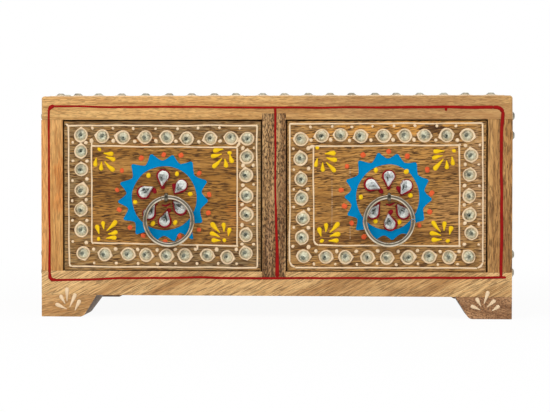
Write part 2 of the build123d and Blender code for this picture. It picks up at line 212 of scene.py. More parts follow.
# Pull rings: where each ring's butt joint is, in degrees round from the right, how wide it is and how far
# the cut ends are eased
ring_joints = {"left": 108.0, "right": 4.0}
joint_gap = 0.25
cut_ease = 0.14
leg_ease = 0.3

# The top and the ends of the case: how far in from the edges the cream frames lie, and on the top the fans'
# dots, with how far each fan's heart lies in from its dot
top_frame_insets = (4.2, 17.2)
top_fan_inset = 21
top_fan_heart = (4.2, 4.4)
side_frame_insets = (4.4, 6.2)

# Cut stones: a round one's radius, and a petal's round end and its point, each as (radius, place along it)
stone_radius = 3.1
petal_round = (3.3, 1.4)
petal_point = (0.5, -4.2)

# Studio: how bright the sky is as light, how bright metal shows the sky, all round and behind the camera,
# and the floor, by the camera and by the box, and how near plain white the floor is, by the box and far off
white = (1, 1, 1, 1)
sky_strength = 0.42
metal_sky = (1.0, 0.22)
metal_floor = (0.25, 1.0)
floor_fade = (0.94, 1.0)
lamp_aim = (0, 0, 0.06)


# Places on the box


def face(origin, across, up):
    """A frame on a face, in millimetres: across and up lie on it, and the third axis points out of it."""
    across, up = Vector(across), Vector(up)
    turn = Matrix((across, up, across.cross(up))).transposed().to_4x4()
    return Matrix.Translation(origin) @ turn @ Matrix.Scale(mm, 4)


@functools.cache
def islands(node):
    """The points of each separate stone in a node of stones."""
    bm = bmesh.new()
    bm.from_mesh(nodes[node].data)
    bmesh.ops.remove_doubles(bm, verts=bm.verts, dist=0.01 * mm)
    found, seen = [], set()
    for start in bm.verts:
        if start in seen:
            continue
        group, edge = [], [start]
        seen.add(start)
        while edge:
            vertex = edge.pop()
            group.append(vertex.co.copy())
            for link in vertex.link_edges:
                other = link.other_vert(vertex)
                if other not in seen:
                    seen.add(other)
                    edge.append(other)
        found.append(group)
    bm.free()
    return found


def long_axis(outline_points):
    """The two ends of a stone's outline, its narrower one first."""
    ends = max(itertools.combinations(outline_points, 2), key=lambda pair: (pair[0] - pair[1]).length)

    def spread(end):
        near = [p for p in outline_points if (p - end).length < 2.0]
        return max((p - q).length for p in near for q in near)
    return sorted(ends, key=spread)


def stone_places(node, place):
    """Where each stone's middle is on a face, and which way its point aims, in degrees."""
    to_face = place.inverted()
    found = []
    for group in islands(node):
        flat = [to_face @ point for point in group]
        tip, round_end = long_axis([p.to_2d() for p in flat if p.z < 0.1])
        centre, aim = (tip + round_end) / 2, tip - round_end
        found.append((centre.x, centre.y, math.degrees(math.atan2(aim.y, aim.x))))
    return found


case_low, case_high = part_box("top_board")
front_y, back_y = case_low.y, case_high.y
deep = (front_y + back_y) / 2
foot_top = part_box("front_left_foot")[1].z
side_middle = (foot_top + case_high.z) / 2
half_wide = case_high.x / mm
half_deep = (back_y - front_y) / 2 / mm
half_tall = (case_high.z - foot_top) / 2 / mm
case_front = face((0, front_y, 0), (1, 0, 0), (0, 0, 1))
top_face = face((0, deep, case_high.z), (1, 0, 0), (0, 1, 0))
side_faces = {
    "left": face((case_low.x, deep, side_middle), (0, -1, 0), (0, 0, 1)),
    "right": face((case_high.x, deep, side_middle), (0, 1, 0), (0, 0, 1)),
}


def drawer_face(side):
    low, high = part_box(f"{side}_drawer_front")
    return face(((low.x + high.x) / 2, low.y, (low.z + high.z) / 2), (1, 0, 0), (0, 0, 1))


drawer_faces = {side: drawer_face(side) for side in ("left", "right")}


# Finishes


def shade(red, green, blue):
    """A colour as it is seen, from 0 to 255, as the renderer's own linear colour."""
    def linear(value):
        value /= 255
        return value / 12.92 if value <= 0.04045 else ((value + 0.055) / 1.055) ** 2.4
    return (linear(red), linear(green), linear(blue), 1.0)


class Nodes:
    """A node tree, built up one node at a time."""

    def __init__(self, tree):
        self.tree = tree
        self.tree.nodes.clear()

    def add(self, kind, inputs=None, **settings):
        made = self.tree.nodes.new(kind)
        for name, value in settings.items():
            setattr(made, name, value)
        for name, value in (inputs or {}).items():
            if isinstance(value, bpy.types.NodeSocket):
                self.tree.links.new(value, made.inputs[name])
            else:
                made.inputs[name].default_value = value
        return made

    def range(self, value, low, high, start=0.0, end=1.0):
        """Value from low to high drawn out to run smoothly from start to end."""
        inputs = {"Value": value, "From Min": low, "From Max": high, "To Min": start, "To Max": end}
        return self.add("ShaderNodeMapRange", inputs, interpolation_type="SMOOTHSTEP").outputs[0]

    def sum(self, operation, first, second=0.0):
        return self.add("ShaderNodeMath", {0: first, 1: second}, operation=operation).outputs[0]

    def mix(self, amount, first, second, mode="MIX"):
        inputs = {0: amount, 6: first, 7: second}
        return self.add("ShaderNodeMix", inputs, data_type="RGBA", blend_type=mode).outputs[2]

    def ramp(self, value, stops):
        made = self.add("ShaderNodeValToRGB", {"Fac": value})
        band = made.color_ramp.elements
        while len(band) < len(stops):
            band.new(0.5)
        for element, (place, colour) in zip(band, stops):
            element.position = place
            element.color = colour
        return made.outputs[0]

    def blend(self, amount, first, second):
        """One shader's output fading into another's."""
        return self.add("ShaderNodeMixShader", {0: amount, 1: first, 2: second}).outputs[0]


class Finish(Nodes):
    """One material, built from nodes that read the object's own coordinates."""

    def __init__(self, name):
        self.material = bpy.data.materials.new(name)
        self.material.use_nodes = True
        super().__init__(self.material.node_tree)
        self.place = self.add("ShaderNodeTexCoord").outputs["Object"]

    def stretch(self, size, turn=(0, 0, 0), shift=(0, 0, 0)):
        """The object's coordinates, turned with the grain and counted in sizes of so many millimetres."""
        turned = [math.radians(angle) for angle in turn]
        sizes = [length * mm for length in size]
        moved = [length * mm for length in shift]
        inputs = {"Vector": self.place, "Location": moved, "Rotation": turned, "Scale": sizes}
        return self.add("ShaderNodeMapping", inputs, vector_type="TEXTURE").outputs[0]

    def noise(self, size, turn=(0, 0, 0), shift=(0, 0, 0), detail=2.0, rough=0.5, bend=0.0):
        inputs = {"Vector": self.stretch(size, turn, shift), "Scale": 1.0, "Detail": detail,
                  "Roughness": rough, "Distortion": bend}
        return self.add("ShaderNodeTexNoise", inputs).outputs[0]

    def spot(self, centre, size, turn=(0, 0, 0)):
        """1 inside a soft ragged patch about a point, 0 outside it."""
        inputs = {0: self.stretch(size, turn, centre)}
        distance = self.add("ShaderNodeVectorMath", inputs, operation="LENGTH").outputs["Value"]
        edge = self.noise([length * 0.5 for length in size], turn, detail=2.0)
        rough = self.sum("ADD", distance, self.range(edge, 0.3, 0.7, -0.35, 0.35))
        return self.range(rough, 0.55, 1.05, 1.0, 0.0)

    def slab(self, inside, part, rise, fall):
        """Inside, taken down to 0 before a rise and after a fall, each given by its two ends on an axis."""
        inside = self.sum("MULTIPLY", inside, self.range(part, *rise))
        return self.sum("MULTIPLY", inside, self.range(part, *fall, 1.0, 0.0))

    def mouth(self, low, high, amount):
        """The amount on faces inside a box that reaches back from just behind the front, and 0 outside it."""
        parts = self.add("ShaderNodeSeparateXYZ", {0: self.place}).outputs
        for axis, (start, end) in enumerate(zip(low, high)):
            rise, fall = (0.6 * mm, (end - start) * 0.7) if axis == 1 else (0.2 * mm, 0.2 * mm)
            amount = self.slab(amount, parts[axis], (start, start + rise), (end - fall, end))
        return amount

    def field(self, low, high, soft):
        """1 inside an upright rectangle, each corner given across and up, and 0 beyond its soft edge."""
        across, _, up = self.add("ShaderNodeSeparateXYZ", {0: self.place}).outputs
        inside = 1.0
        for part, start, end in zip((across, up), low, high):
            inside = self.slab(inside, part, (start - soft * mm, start), (end, end + soft * mm))
        return inside

    def bump(self, height, depth, strength=1.0):
        inputs = {"Height": height, "Distance": depth * mm, "Strength": strength}
        return self.add("ShaderNodeBump", inputs).outputs[0]

    def surface(self, colour, roughness, normal=None, **constants):
        """Ends the material. The constants are set on the shader's own sockets."""
        shader = self.add("ShaderNodeBsdfPrincipled", {"Base Color": colour, "Roughness": roughness})
        if normal is not None:
            self.tree.links.new(normal, shader.inputs["Normal"])
        for name, value in constants.items():
            shader.inputs[name.replace("_", " ")].default_value = value
        self.add("ShaderNodeOutputMaterial", {"Surface": shader.outputs[0]})
        return self.material


def mango(name, grain, shift, light, body, dark, pores=0.5, pore_size=(5.0, 0.45, 0.45), cover=0.5,
          figure=0.5, stains_and_shadows=(), painted_shade=None, rim=None, scratches=()):
    """Oiled mango wood: broad figure, streaks, fine fibres and short dark pores drawn out along the grain."""
    wood = Finish(name)
    broad = wood.noise((95, 9, 9), grain, shift, detail=3.0, bend=0.5)
    colour = wood.ramp(broad, [(0.34, dark), (0.5, body), (0.66, light)])
    growth = wood.noise((190, 17, 17), grain, shift, detail=1.0, bend=0.3)
    streaks = wood.sum("SINE", wood.sum("MULTIPLY", growth, 62.0))
    colour = wood.mix(wood.range(streaks, 0.1, 1.0, 0.0, figure), colour, dark)
    if rim is not None:
        low, high, tint, amount = rim
        greyed = wood.sum("SUBTRACT", 1.0, wood.field(low, high, 1.2))
        patchy = wood.range(wood.noise((16, 5, 5), grain, shift), 0.3, 0.6, 0.45 * amount, amount)
        colour = wood.mix(wood.sum("MULTIPLY", greyed, patchy), colour, tint)
    # Patches: stains in the wood, and a painted shadow where a call gives one
    for centre, size, tint, amount in stains_and_shadows:
        patch = wood.sum("MULTIPLY", wood.spot(centre, size, grain), amount)
        colour = wood.mix(patch, colour, tint)
    for centre, size, amount in scratches:
        colour = wood.mix(wood.sum("MULTIPLY", wood.spot(centre, size), amount), colour, scratch)
    fibres = wood.noise((11, 0.6, 0.6), grain, shift, detail=2.0)
    deepened = wood.mix(1.0, colour, dark, "MULTIPLY")
    colour = wood.mix(wood.range(fibres, 0.35, 0.65, 0.0, 0.38), colour, deepened)
    grown = wood.noise((24, 4, 4), grain, shift, detail=1.0)
    marks = wood.noise(pore_size, grain, shift, detail=1.0, rough=0.6, bend=0.35)
    open_pores = wood.sum("MULTIPLY", wood.range(marks, cover, cover + 0.08), wood.range(grown, 0.2, 0.46))
    deep_tone = wood.mix(0.62, dark, (0.02, 0.01, 0.005, 1))
    colour = wood.mix(wood.sum("MULTIPLY", open_pores, pores), colour, deep_tone)
    pale_size = [length * 1.3 for length in pore_size]
    pale = wood.noise(pale_size, grain, (shift[2], shift[0], shift[1]), detail=1.0)
    colour = wood.mix(wood.range(pale, 0.56, 0.66, 0.0, 0.45 * pores), colour, light)
    # Painted shade: faces in the recesses, on the feet's slopes and at the drawer fronts' edges go towards
    # near black
    if painted_shade is not None:
        colour = wood.mix(wood.mouth(*painted_shade), colour, painted_shade_black)
    height = wood.sum("SUBTRACT", wood.sum("MULTIPLY", fibres, 0.35), open_pores)
    roughness = wood.range(fibres, 0.3, 0.7, 0.45, 0.62)
    return wood.surface(colour, roughness, wood.bump(height, 0.12, 0.6), Specular_IOR_Level=0.3)


def plain_wood(name, grain, shift, light, dark):
    """Pale unfinished wood for what is inside."""
    wood = Finish(name)
    broad = wood.noise((120, 7, 7), grain, shift, detail=3.0, bend=0.4)
    fibres = wood.noise((16, 0.4, 0.4), grain, shift, detail=1.0)
    colour = wood.ramp(broad, [(0.35, dark), (0.65, light)])
    colour = wood.mix(wood.range(fibres, 0.4, 0.7, 0.0, 0.3), colour, dark)
    roughness = wood.range(fibres, 0.3, 0.7, 0.6, 0.8)
    return wood.surface(colour, roughness, wood.bump(fibres, 0.1, 0.5), Specular_IOR_Level=0.25)


def enamel(name, colour, worn, roughness=0.46, shine=0.3):
    """Hand-laid paint: a little thinner and duller in places."""
    paint = Finish(name)
    thin = paint.noise((3.5, 3.5, 3.5), detail=3.0, rough=0.6)
    grit = paint.noise((0.5, 0.5, 0.5), detail=2.0)
    tone = paint.mix(paint.range(thin, 0.42, 0.72, 0.0, 0.5), colour, worn)
    sheen = paint.range(thin, 0.3, 0.7, roughness - 0.08, roughness + 0.14)
    height = paint.sum("ADD", thin, paint.sum("MULTIPLY", grit, 0.4))
    return paint.surface(tone, sheen, paint.bump(height, 0.1, 0.5), Specular_IOR_Level=shine)


def glass(name, dark, light, tints):
    """Foil-backed cut glass. Each facet's tone is painted reflection and shade, saying how much of the foil
    it seems to throw back, and the stone's tint, warmer at the rim, is a painted reflection of the cream
    round it.
    """
    stone = Finish(name)
    tone = stone.add("ShaderNodeAttribute", attribute_name="facet_tone").outputs["Fac"]
    tint = stone.add("ShaderNodeAttribute", attribute_name="stone_tint").outputs["Fac"]
    cloud = stone.noise((1.1, 1.1, 1.1), detail=2.0)
    mixed = stone.sum("ADD", tone, stone.range(cloud, 0.3, 0.7, -0.1, 0.1))
    halfway = [(low + high) / 2 for low, high in zip(dark, light)]
    colour = stone.ramp(mixed, [(0.0, dark), (0.5, halfway), (0.95, light)])
    cast = stone.ramp(tint, [(0.0, tints[0]), (1.0, tints[1])])
    colour = stone.mix(1.0, colour, cast, "MULTIPLY")
    scuffs = stone.noise((0.7, 0.7, 0.7), detail=2.0)
    return stone.surface(colour, stone.range(scuffs, 0.35, 0.75, 0.1, 0.26), Metallic=0.25,
                         Specular_IOR_Level=0.5, Coat_Weight=0.4, Coat_Roughness=0.06)


def plated(name, bright, dull, low, high):
    """Plated or drawn metal, duller where it has been handled, with fine scratches."""
    metal = Finish(name)
    cloud = metal.noise((5, 5, 5), detail=2.0, rough=0.5)
    lines = metal.noise((6, 0.15, 0.15), (20, 35, 10), detail=2.0)
    colour = metal.mix(metal.range(cloud, 0.42, 0.68), bright, dull)
    roughness = metal.range(cloud, 0.35, 0.7, low, high)
    return metal.surface(colour, roughness, metal.bump(lines, 0.01, 0.04), Metallic=1.0)


def felt_cloth(name, colour, deep):
    """Short-napped felt."""
    cloth = Finish(name)
    nap = cloth.noise((0.7, 0.7, 0.7), detail=3.0, rough=0.7)
    worn = cloth.noise((22, 22, 22), detail=2.0)
    tone = cloth.mix(cloth.range(nap, 0.3, 0.7), deep, colour)
    tone = cloth.mix(cloth.range(worn, 0.45, 0.75, 0.0, 0.35), tone, deep)
    roughness = cloth.range(nap, 0.3, 0.7, 0.85, 1.0)
    return cloth.surface(tone, roughness, cloth.bump(nap, 0.3, 0.8), Sheen_Weight=0.35,
                         Sheen_Roughness=0.5, Specular_IOR_Level=0.15)


# The grain's direction: a turn that takes the X axis along it
along_x = (0, 0, 0)
along_y = (0, 0, 90)
along_z = (0, 90, 0)
bottom_grain = (0, -27, 0)

umber = shade(70, 42, 24)
orange_stain = shade(214, 124, 48)
amber_stain = shade(222, 158, 70)
scratch = shade(206, 180, 148)

# Faces darkened with painted shade, each within two corners and with its amount: the mouths of the
# bays, the slopes of the front feet and the edges of the drawer fronts
bay_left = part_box("left_side_board")[1]
bay_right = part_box("right_side_board")[0]
bay_mouth = ((bay_left.x - 0.6 * mm, front_y + 0.8 * mm, bay_right.z - 0.6 * mm),
             (bay_right.x + 0.6 * mm, front_y + 30 * mm, bay_left.z + 0.6 * mm), 0.9)
foot_shade = ((-1.0, front_y + 0.6 * mm, -1.0), (1.0, front_y + 60 * mm, foot_top + 1 * mm), 0.75)
drawer_front_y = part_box("left_drawer_front")[0].y
front_edges = ((-1.0, drawer_front_y + 0.8 * mm, -1.0), (1.0, drawer_front_y + 9 * mm, 1.0), 0.9)
painted_shade_black = (0.012, 0.007, 0.004, 1)

top_wood = mango("top_board_mango", along_x, (31, 7, 3), shade(228, 184, 118), shade(216, 169, 104),
                 shade(180, 130, 72), pores=0.5, pore_size=(3.5, 0.4, 0.4), figure=0.3, painted_shade=bay_mouth,
                 stains_and_shadows=[((80, -71, 114), (90, 90, 22), shade(184, 142, 92), 0.75),
                         ((-70, -71, 122), (80, 60, 4), shade(236, 188, 122), 0.6)])
bottom_wood = mango("bottom_board_mango", bottom_grain, (3, 60, 9), shade(232, 192, 133),
                    shade(222, 181, 123), shade(188, 142, 88), pores=0.8, pore_size=(7.0, 0.34, 0.34),
                    figure=0.15, painted_shade=bay_mouth)
left_wood = mango("left_side_mango", along_z, (9, 21, 4), shade(228, 178, 112), shade(212, 158, 90),
                  shade(182, 126, 66), pores=0.4, figure=0.4, painted_shade=bay_mouth,
                  stains_and_shadows=[((-119, -72, 74), (22, 14, 4), orange_stain, 0.5),
                          ((-129, -72, 70), (80, 14, 5), shade(234, 170, 102), 0.8)])
right_wood = mango("right_side_mango", along_z, (50, 2, 33), shade(210, 162, 100), shade(180, 131, 74),
                   shade(130, 88, 46), pores=0.7, pore_size=(4.0, 0.5, 0.5), figure=0.5, painted_shade=bay_mouth)
divider_wood = mango("divider_mango", along_z, (12, 40, 8), shade(206, 166, 114), shade(166, 122, 74),
                     shade(96, 64, 36), pores=0.9, pore_size=(1.9, 0.75, 0.75), cover=0.47, figure=0.35,
                     painted_shade=bay_mouth, stains_and_shadows=[((-2.6, -72, 46), (24, 14, 2.2), shade(196, 152, 110), 0.5),
                                              ((4.5, -72, 67), (70, 14, 3.2), shade(124, 82, 48), 0.6)])
olive_dust = shade(160, 142, 104)


def inner_field(side):
    """The ground inside a drawer's inner frame, as its lower left and upper right corners."""
    low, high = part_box(f"{side}_drawer_front")
    us, vs = [corner[0] for corner in inner_frames[side]], [corner[1] for corner in inner_frames[side]]
    middle_u, middle_v = (low.x + high.x) / 2, (low.z + high.z) / 2
    return [(middle_u + end(us) * mm, middle_v + end(vs) * mm) for end in (min, max)]


drawer_woods = {
    "left": mango("left_drawer_mango", along_x, (5, 3, 17), shade(188, 136, 67), shade(172, 120, 51),
                  shade(116, 73, 24), pores=1.0, pore_size=(5.0, 0.42, 0.42), cover=0.48, figure=0.2,
                  painted_shade=front_edges, rim=(*inner_field("left"), olive_dust, 0.62),
                  # The first patch is painted shadow: a dark band along the top of the front, under the
                  # case's top board
                  stains_and_shadows=[((-62, -71, 108.8), (80, 14, 1.5), umber, 0.5),
                          ((-72, -71, 98), (9, 14, 5), orange_stain, 0.35),
                          ((-20, -71, 58), (8, 14, 9), orange_stain, 0.25)]),
    "right": mango("right_drawer_mango", (0, -4, 0), (44, 9, 28), shade(209, 156, 86), shade(191, 138, 67),
                   shade(126, 82, 33), pores=1.0, pore_size=(5.0, 0.42, 0.42), cover=0.48, figure=0.2,
                   painted_shade=front_edges, rim=(*inner_field("right"), olive_dust, 0.35),
                   stains_and_shadows=[((70, -71, 105.2), (56, 14, 5.8), amber_stain, 0.85),
                           ((86.5, -71, 104.6), (9, 8, 3.4), umber, 0.95),
                           ((100, -71, 66), (14, 14, 26), shade(196, 150, 96), 0.45),
                           ((113, -71, 66), (5, 14, 44), shade(204, 164, 120), 0.6)],
                   scratches=[((31.5, -71, 66), (0.45, 14, 16), 0.5), ((41.4, -71, 80), (0.45, 14, 3), 0.6),
                              ((41.5, -71, 48), (0.45, 14, 6), 0.5)]),
}
foot_woods = {
    "front_left": mango("front_left_foot_mango", (0, -14, 0), (7, 0, 2), shade(228, 186, 128),
                        shade(216, 171, 114), shade(196, 150, 94), pores=0.6, pore_size=(5.0, 0.4, 0.4),
                        figure=0.2, painted_shade=foot_shade),
    "front_right": mango("front_right_foot_mango", (0, 20, 0), (22, 5, 61), shade(198, 152, 110),
                         shade(174, 130, 90), shade(140, 98, 64), pores=0.85, pore_size=(1.1, 0.6, 0.6),
                         figure=0.2, painted_shade=foot_shade),
    "rear_left": mango("rear_left_foot_mango", along_x, (80, 5, 6), shade(214, 168, 112),
                       shade(194, 146, 92), shade(154, 106, 60), pores=0.4, figure=0.4),
    "rear_right": mango("rear_right_foot_mango", along_x, (15, 70, 16), shade(206, 158, 104),
                        shade(182, 134, 84), shade(140, 96, 54), pores=0.4, figure=0.4),
}
panel_wood = mango("back_panel_mango", along_x, (61, 17, 23), shade(214, 172, 120), shade(194, 150, 98),
                   shade(154, 110, 66), pores=0.4, figure=0.45)
side_wood = plain_wood("drawer_side_wood", along_y, (4, 8, 2), shade(222, 190, 146), shade(188, 148, 102))
back_wood = plain_wood("drawer_back_wood", along_x, (14, 3, 9), shade(220, 186, 142), shade(184, 144, 98))
floor_wood = plain_wood("drawer_floor_wood", along_x, (2, 28, 5), shade(210, 172, 124), shade(176, 134, 88))
peg_wood = plain_wood("dowel_beech", along_z, (1, 1, 1), shade(228, 196, 150), shade(200, 162, 116))

cream = enamel("cream_paint", shade(234, 208, 172), shade(210, 180, 142))
red = enamel("red_paint", shade(150, 13, 10), shade(118, 10, 8), shine=0.15)
crimson = enamel("crimson_paint", shade(142, 10, 28), shade(106, 6, 22), shine=0.2)
blue = enamel("blue_paint", shade(0, 126, 180), shade(0, 112, 168), 0.55, 0.04)
yellow = enamel("yellow_paint", shade(238, 196, 14), shade(222, 172, 10), shine=0.2)
orange = enamel("orange_paint", shade(222, 94, 48), shade(202, 72, 38), shine=0.2)
stone_tints = (shade(250, 228, 196), shade(246, 246, 230))
round_glass = glass("round_glass", shade(48, 54, 48), shade(236, 236, 220), stone_tints)
petal_tints = (shade(244, 246, 238), shade(250, 252, 255))
petal_glass = glass("petal_glass", shade(60, 64, 54), shade(250, 252, 250), petal_tints)
# A darker copy of the round glass for the stones on the top and ends: painted shade and dark reflection
shaded_edge_glass = glass("shaded_edge_glass", shade(30, 30, 26), shade(176, 172, 158), stone_tints)
nickel = plated("nickel_plate", shade(220, 208, 186), shade(192, 178, 152), 0.08, 0.16)
# A darker, rougher copy of the ring's nickel for the split pins: its darkness is painted shade
pin_nickel = plated("shaded_pin_nickel", shade(128, 120, 104), shade(94, 86, 72), 0.26, 0.42)
steel = plated("steel_wire", shade(176, 176, 172), shade(132, 128, 120), 0.3, 0.5)
felt = felt_cloth("felt", shade(138, 24, 34), shade(92, 10, 20))


# Pieces


def kept(bm, name):
    """Ends a bmesh as a mesh."""
    mesh = bpy.data.meshes.new(name)
    bm.to_mesh(mesh)
    bm.free()
    return mesh


def finish_mesh(bm, name, material):
    """Turns a bmesh into a mesh whose faces point outwards, with one material."""
    bmesh.ops.scale(bm, verts=bm.verts, vec=(1 / mm, 1 / mm, 1 / mm))
    bmesh.ops.recalc_face_normals(bm, faces=bm.faces)
    bmesh.ops.scale(bm, verts=bm.verts, vec=(mm, mm, mm))
    mesh = kept(bm, name)
    mesh.materials.append(material)
    return mesh


def put(name, data):
    """A new object in the scene."""
    made = bpy.data.objects.new(name, data)
    bpy.context.scene.collection.objects.link(made)
    return made


def ease(bm, edges, offset, segments=2):
    """Rounds edges off."""
    bmesh.ops.bevel(bm, geom=edges, offset=offset, offset_type="OFFSET", affect="EDGES", segments=segments,
                    profile=0.5, material=-1)


def piece(bm, name, body, material, slot, stands_for=(), crease=None):
    """Files a finished piece: smooth, but for edges sharper than crease degrees."""
    mesh = finish_mesh(bm, name, material)
    if crease != 0:
        mesh.shade_smooth()
    if crease:
        mesh.set_sharp_from_angle(angle=math.radians(crease))
    made = put(name, mesh)
    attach(made, body)
    if stands_for:
        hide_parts(*stands_for)
    return made


def softened(node, body, material, slot, offset=board_ease):
    """A board with its long edges eased as sandpaper leaves them."""
    bm = bmesh.new()
    bm.from_mesh(nodes[node].data)
    bmesh.ops.remove_doubles(bm, verts=bm.verts, dist=0.001 * mm)
    bmesh.ops.dissolve_limit(bm, angle_limit=math.radians(0.5), verts=bm.verts, edges=bm.edges)
    sharp = [edge for edge in bm.edges
             if edge.is_manifold and edge.calc_length() > longest_unsoftened_edge * mm
             and edge.calc_face_angle_signed(0) > math.radians(30)]
    ease(bm, sharp, offset * mm)
    piece(bm, f"{node}_eased", body, material, slot, [node], crease=35)


def recolour(node, material):
    """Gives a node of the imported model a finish."""
    slots = nodes[node].data.materials
    slots.clear()
    slots.append(material)


# Paint strokes


def route(points, waver=0.0, seed=0.0):
    """A line through points, from 0 at its start to 1 at its end, that wavers as a hand does."""
    stages = list(zip(points, points[1:]))
    lengths = [math.dist(a, b) for a, b in stages]

    def line(t):
        left = max(0.0, min(1.0, t)) * sum(lengths)
        for (a, b), length in zip(stages, lengths):
            if left <= length + 1e-9:
                break
            left -= length
        share = left / length
        u, v = (a[i] + (b[i] - a[i]) * share for i in (0, 1))
        drift = Vector((u * 0.06, v * 0.06, seed))
        return (u + waver * noise.noise(drift), v + waver * noise.noise(drift + Vector((9.0, 4.0, 1.0))))
    return line


def between(values, t):
    """The value at t along evenly spaced values."""
    place = max(0.0, min(1.0, t)) * (len(values) - 1)
    low = min(int(place), len(values) - 2)
    return values[low] + (values[low + 1] - values[low]) * (place - low)


def toward(start, end, reach):
    """The point at a reach from one point on the way to another."""
    span = math.dist(start, end)
    return [a + (b - a) * reach / span for a, b in zip(start, end)]


def bead(bm, place, line, widths, rise, rings, sides=8):
    """Adds a closed, round-ended bead of paint along a line on a face, as wide as widths says on the way."""
    samples = [line(i / 40) for i in range(41)]
    length = sum(math.dist(a, b) for a, b in zip(samples, samples[1:]))
    ends = (widths[0] / 2, widths[-1] / 2)
    cap = 3
    ball = bmesh.ops.create_uvsphere(bm, u_segments=sides, v_segments=rings, radius=1)["verts"]
    for vertex in ball:
        ring = round(math.acos(max(-1.0, min(1.0, vertex.co.z))) / math.pi * rings)
        around = math.atan2(vertex.co.y, vertex.co.x)
        fullness = 1.0
        if ring < cap:
            bend = ring / cap * math.pi / 2
            run, fullness = ends[0] * (1 - math.cos(bend)), math.sin(bend)
        elif ring > rings - cap:
            bend = (rings - ring) / cap * math.pi / 2
            run, fullness = length - ends[1] * (1 - math.cos(bend)), math.sin(bend)
        else:
            share = (ring - cap) / (rings - 2 * cap)
            run = ends[0] + (length - ends[0] - ends[1]) * share
        t = run / length
        u, v = line(t)
        before, after = line(t - 0.01), line(t + 0.01)
        heading = math.atan2(after[1] - before[1], after[0] - before[0])
        half = between(widths, t) / 2 * fullness
        off = half * math.cos(around)
        lift = math.sin(around)
        height = rise * lift * fullness ** 0.7 if lift > 0 else paint_sink * lift
        vertex.co = place @ Vector((u - off * math.sin(heading), v + off * math.cos(heading), height))


def blank_dot():
    """A ball of radius 1 that dots are pressed from."""
    bm = bmesh.new()
    bmesh.ops.create_uvsphere(bm, u_segments=10, v_segments=6, radius=1)
    return kept(bm, "blank_dot")


paint_dot = blank_dot()


def add_copy(bm, blank):
    """Adds a copy of a blank, and gives the copy's own points."""
    known = set(bm.verts)
    bm.from_mesh(blank)
    return [vertex for vertex in bm.verts if vertex not in known]


def dab(bm, place, u, v, size, rise=dot_rise, rng=random, block=0.0):
    """Adds a dot of paint, not quite round, and more like a block where the brush was square."""
    long, wide = size * rng.uniform(0.95, 1.15) / 2, size * rng.uniform(0.85, 1.0) / 2
    turn = rng.uniform(0, math.pi)
    for vertex in add_copy(bm, paint_dot):
        x, y, z = vertex.co.x, vertex.co.y, vertex.co.z
        swell = 1 - block * math.cos(4 * math.atan2(y, x))
        x, y = x * long * swell, y * wide * swell
        height = rise * z if z > 0 else paint_sink * z
        across = (x * math.cos(turn) - y * math.sin(turn), x * math.sin(turn) + y * math.cos(turn))
        vertex.co = place @ Vector((u + across[0], v + across[1], height))


def petal(bm, place, thin, fat, width, rise, bow=0.0):
    """Adds a petal pulled from a fat round end to a thin tail."""
    fat = toward(fat, thin, -width / 2)
    lean = (fat[1] - thin[1], thin[0] - fat[0])
    bowed = [(t + f) / 2 + off * bow for t, f, off in zip(thin, fat, lean)]
    widths = (0.22 * width, 0.42 * width, 0.75 * width, width, width)
    bead(bm, place, route([thin, bowed, fat]), widths, rise, rings=14)


def blank_loop(steps):
    """A slim ring of radius 1 that outlines are drawn out from."""
    bm = bmesh.new()
    section = bmesh.ops.create_circle(bm, segments=8, radius=0.25)["verts"]
    bmesh.ops.rotate(bm, verts=section, cent=(0, 0, 0), matrix=Matrix.Rotation(math.pi / 2, 3, "X"))
    bmesh.ops.translate(bm, verts=section, vec=(1, 0, 0))
    bmesh.ops.spin(bm, geom=section + bm.edges[:], cent=(0, 0, 0), axis=(0, 0, 1), dvec=(0, 0, 0),
                   angle=2 * math.pi, steps=steps, use_merge=True)
    return kept(bm, "blank_loop")


stone_loop = blank_loop(28)
petal_loop = blank_loop(40)


def outline(bm, place, blank, u, v, aim, edge, band, rise=outline_rise):
    """Adds a closed bead round a stone. edge says how far out it starts, and band how wide it is, at each
    angle from its aim, in radians."""
    for vertex in add_copy(bm, blank):
        angle = math.atan2(vertex.co.y, vertex.co.x)
        share = ((math.hypot(vertex.co.x, vertex.co.y) - 1) / 0.25 + 1) / 2
        lift = vertex.co.z / 0.25
        radius = edge(angle) + share * band(angle)
        height = rise * lift if lift > 0 else paint_sink * lift
        across = (radius * math.cos(angle + aim), radius * math.sin(angle + aim))
        vertex.co = place @ Vector((u + across[0], v + across[1], height))


# Cut glass


# A stone's levels: each has its circles, as (radius, place along the stone, sides, twist in sides), and its
# height. The table at the top is sunk a little towards its middle.
table_sink = 0.1
round_girdle = ((stone_radius, 0, 16, 0),)
round_levels = ((round_girdle, 0.0), (round_girdle, 0.4), (((2.35, 0, 8, 0.5),), 1.3),
                (((1.5, 0, 8, 0),), 2.0))
petal_girdle = ((*petal_round, 14, 0), (*petal_point, 4, 0))
petal_levels = ((petal_girdle, 0.0), (petal_girdle, 0.7),
                (((2.6, 1.1, 8, 0.5), (0.4, -3.3, 3, 0.5)), 1.55),
                (((1.65, 0.7, 7, 0), (0.3, -2.1, 3, 0)), 2.2))


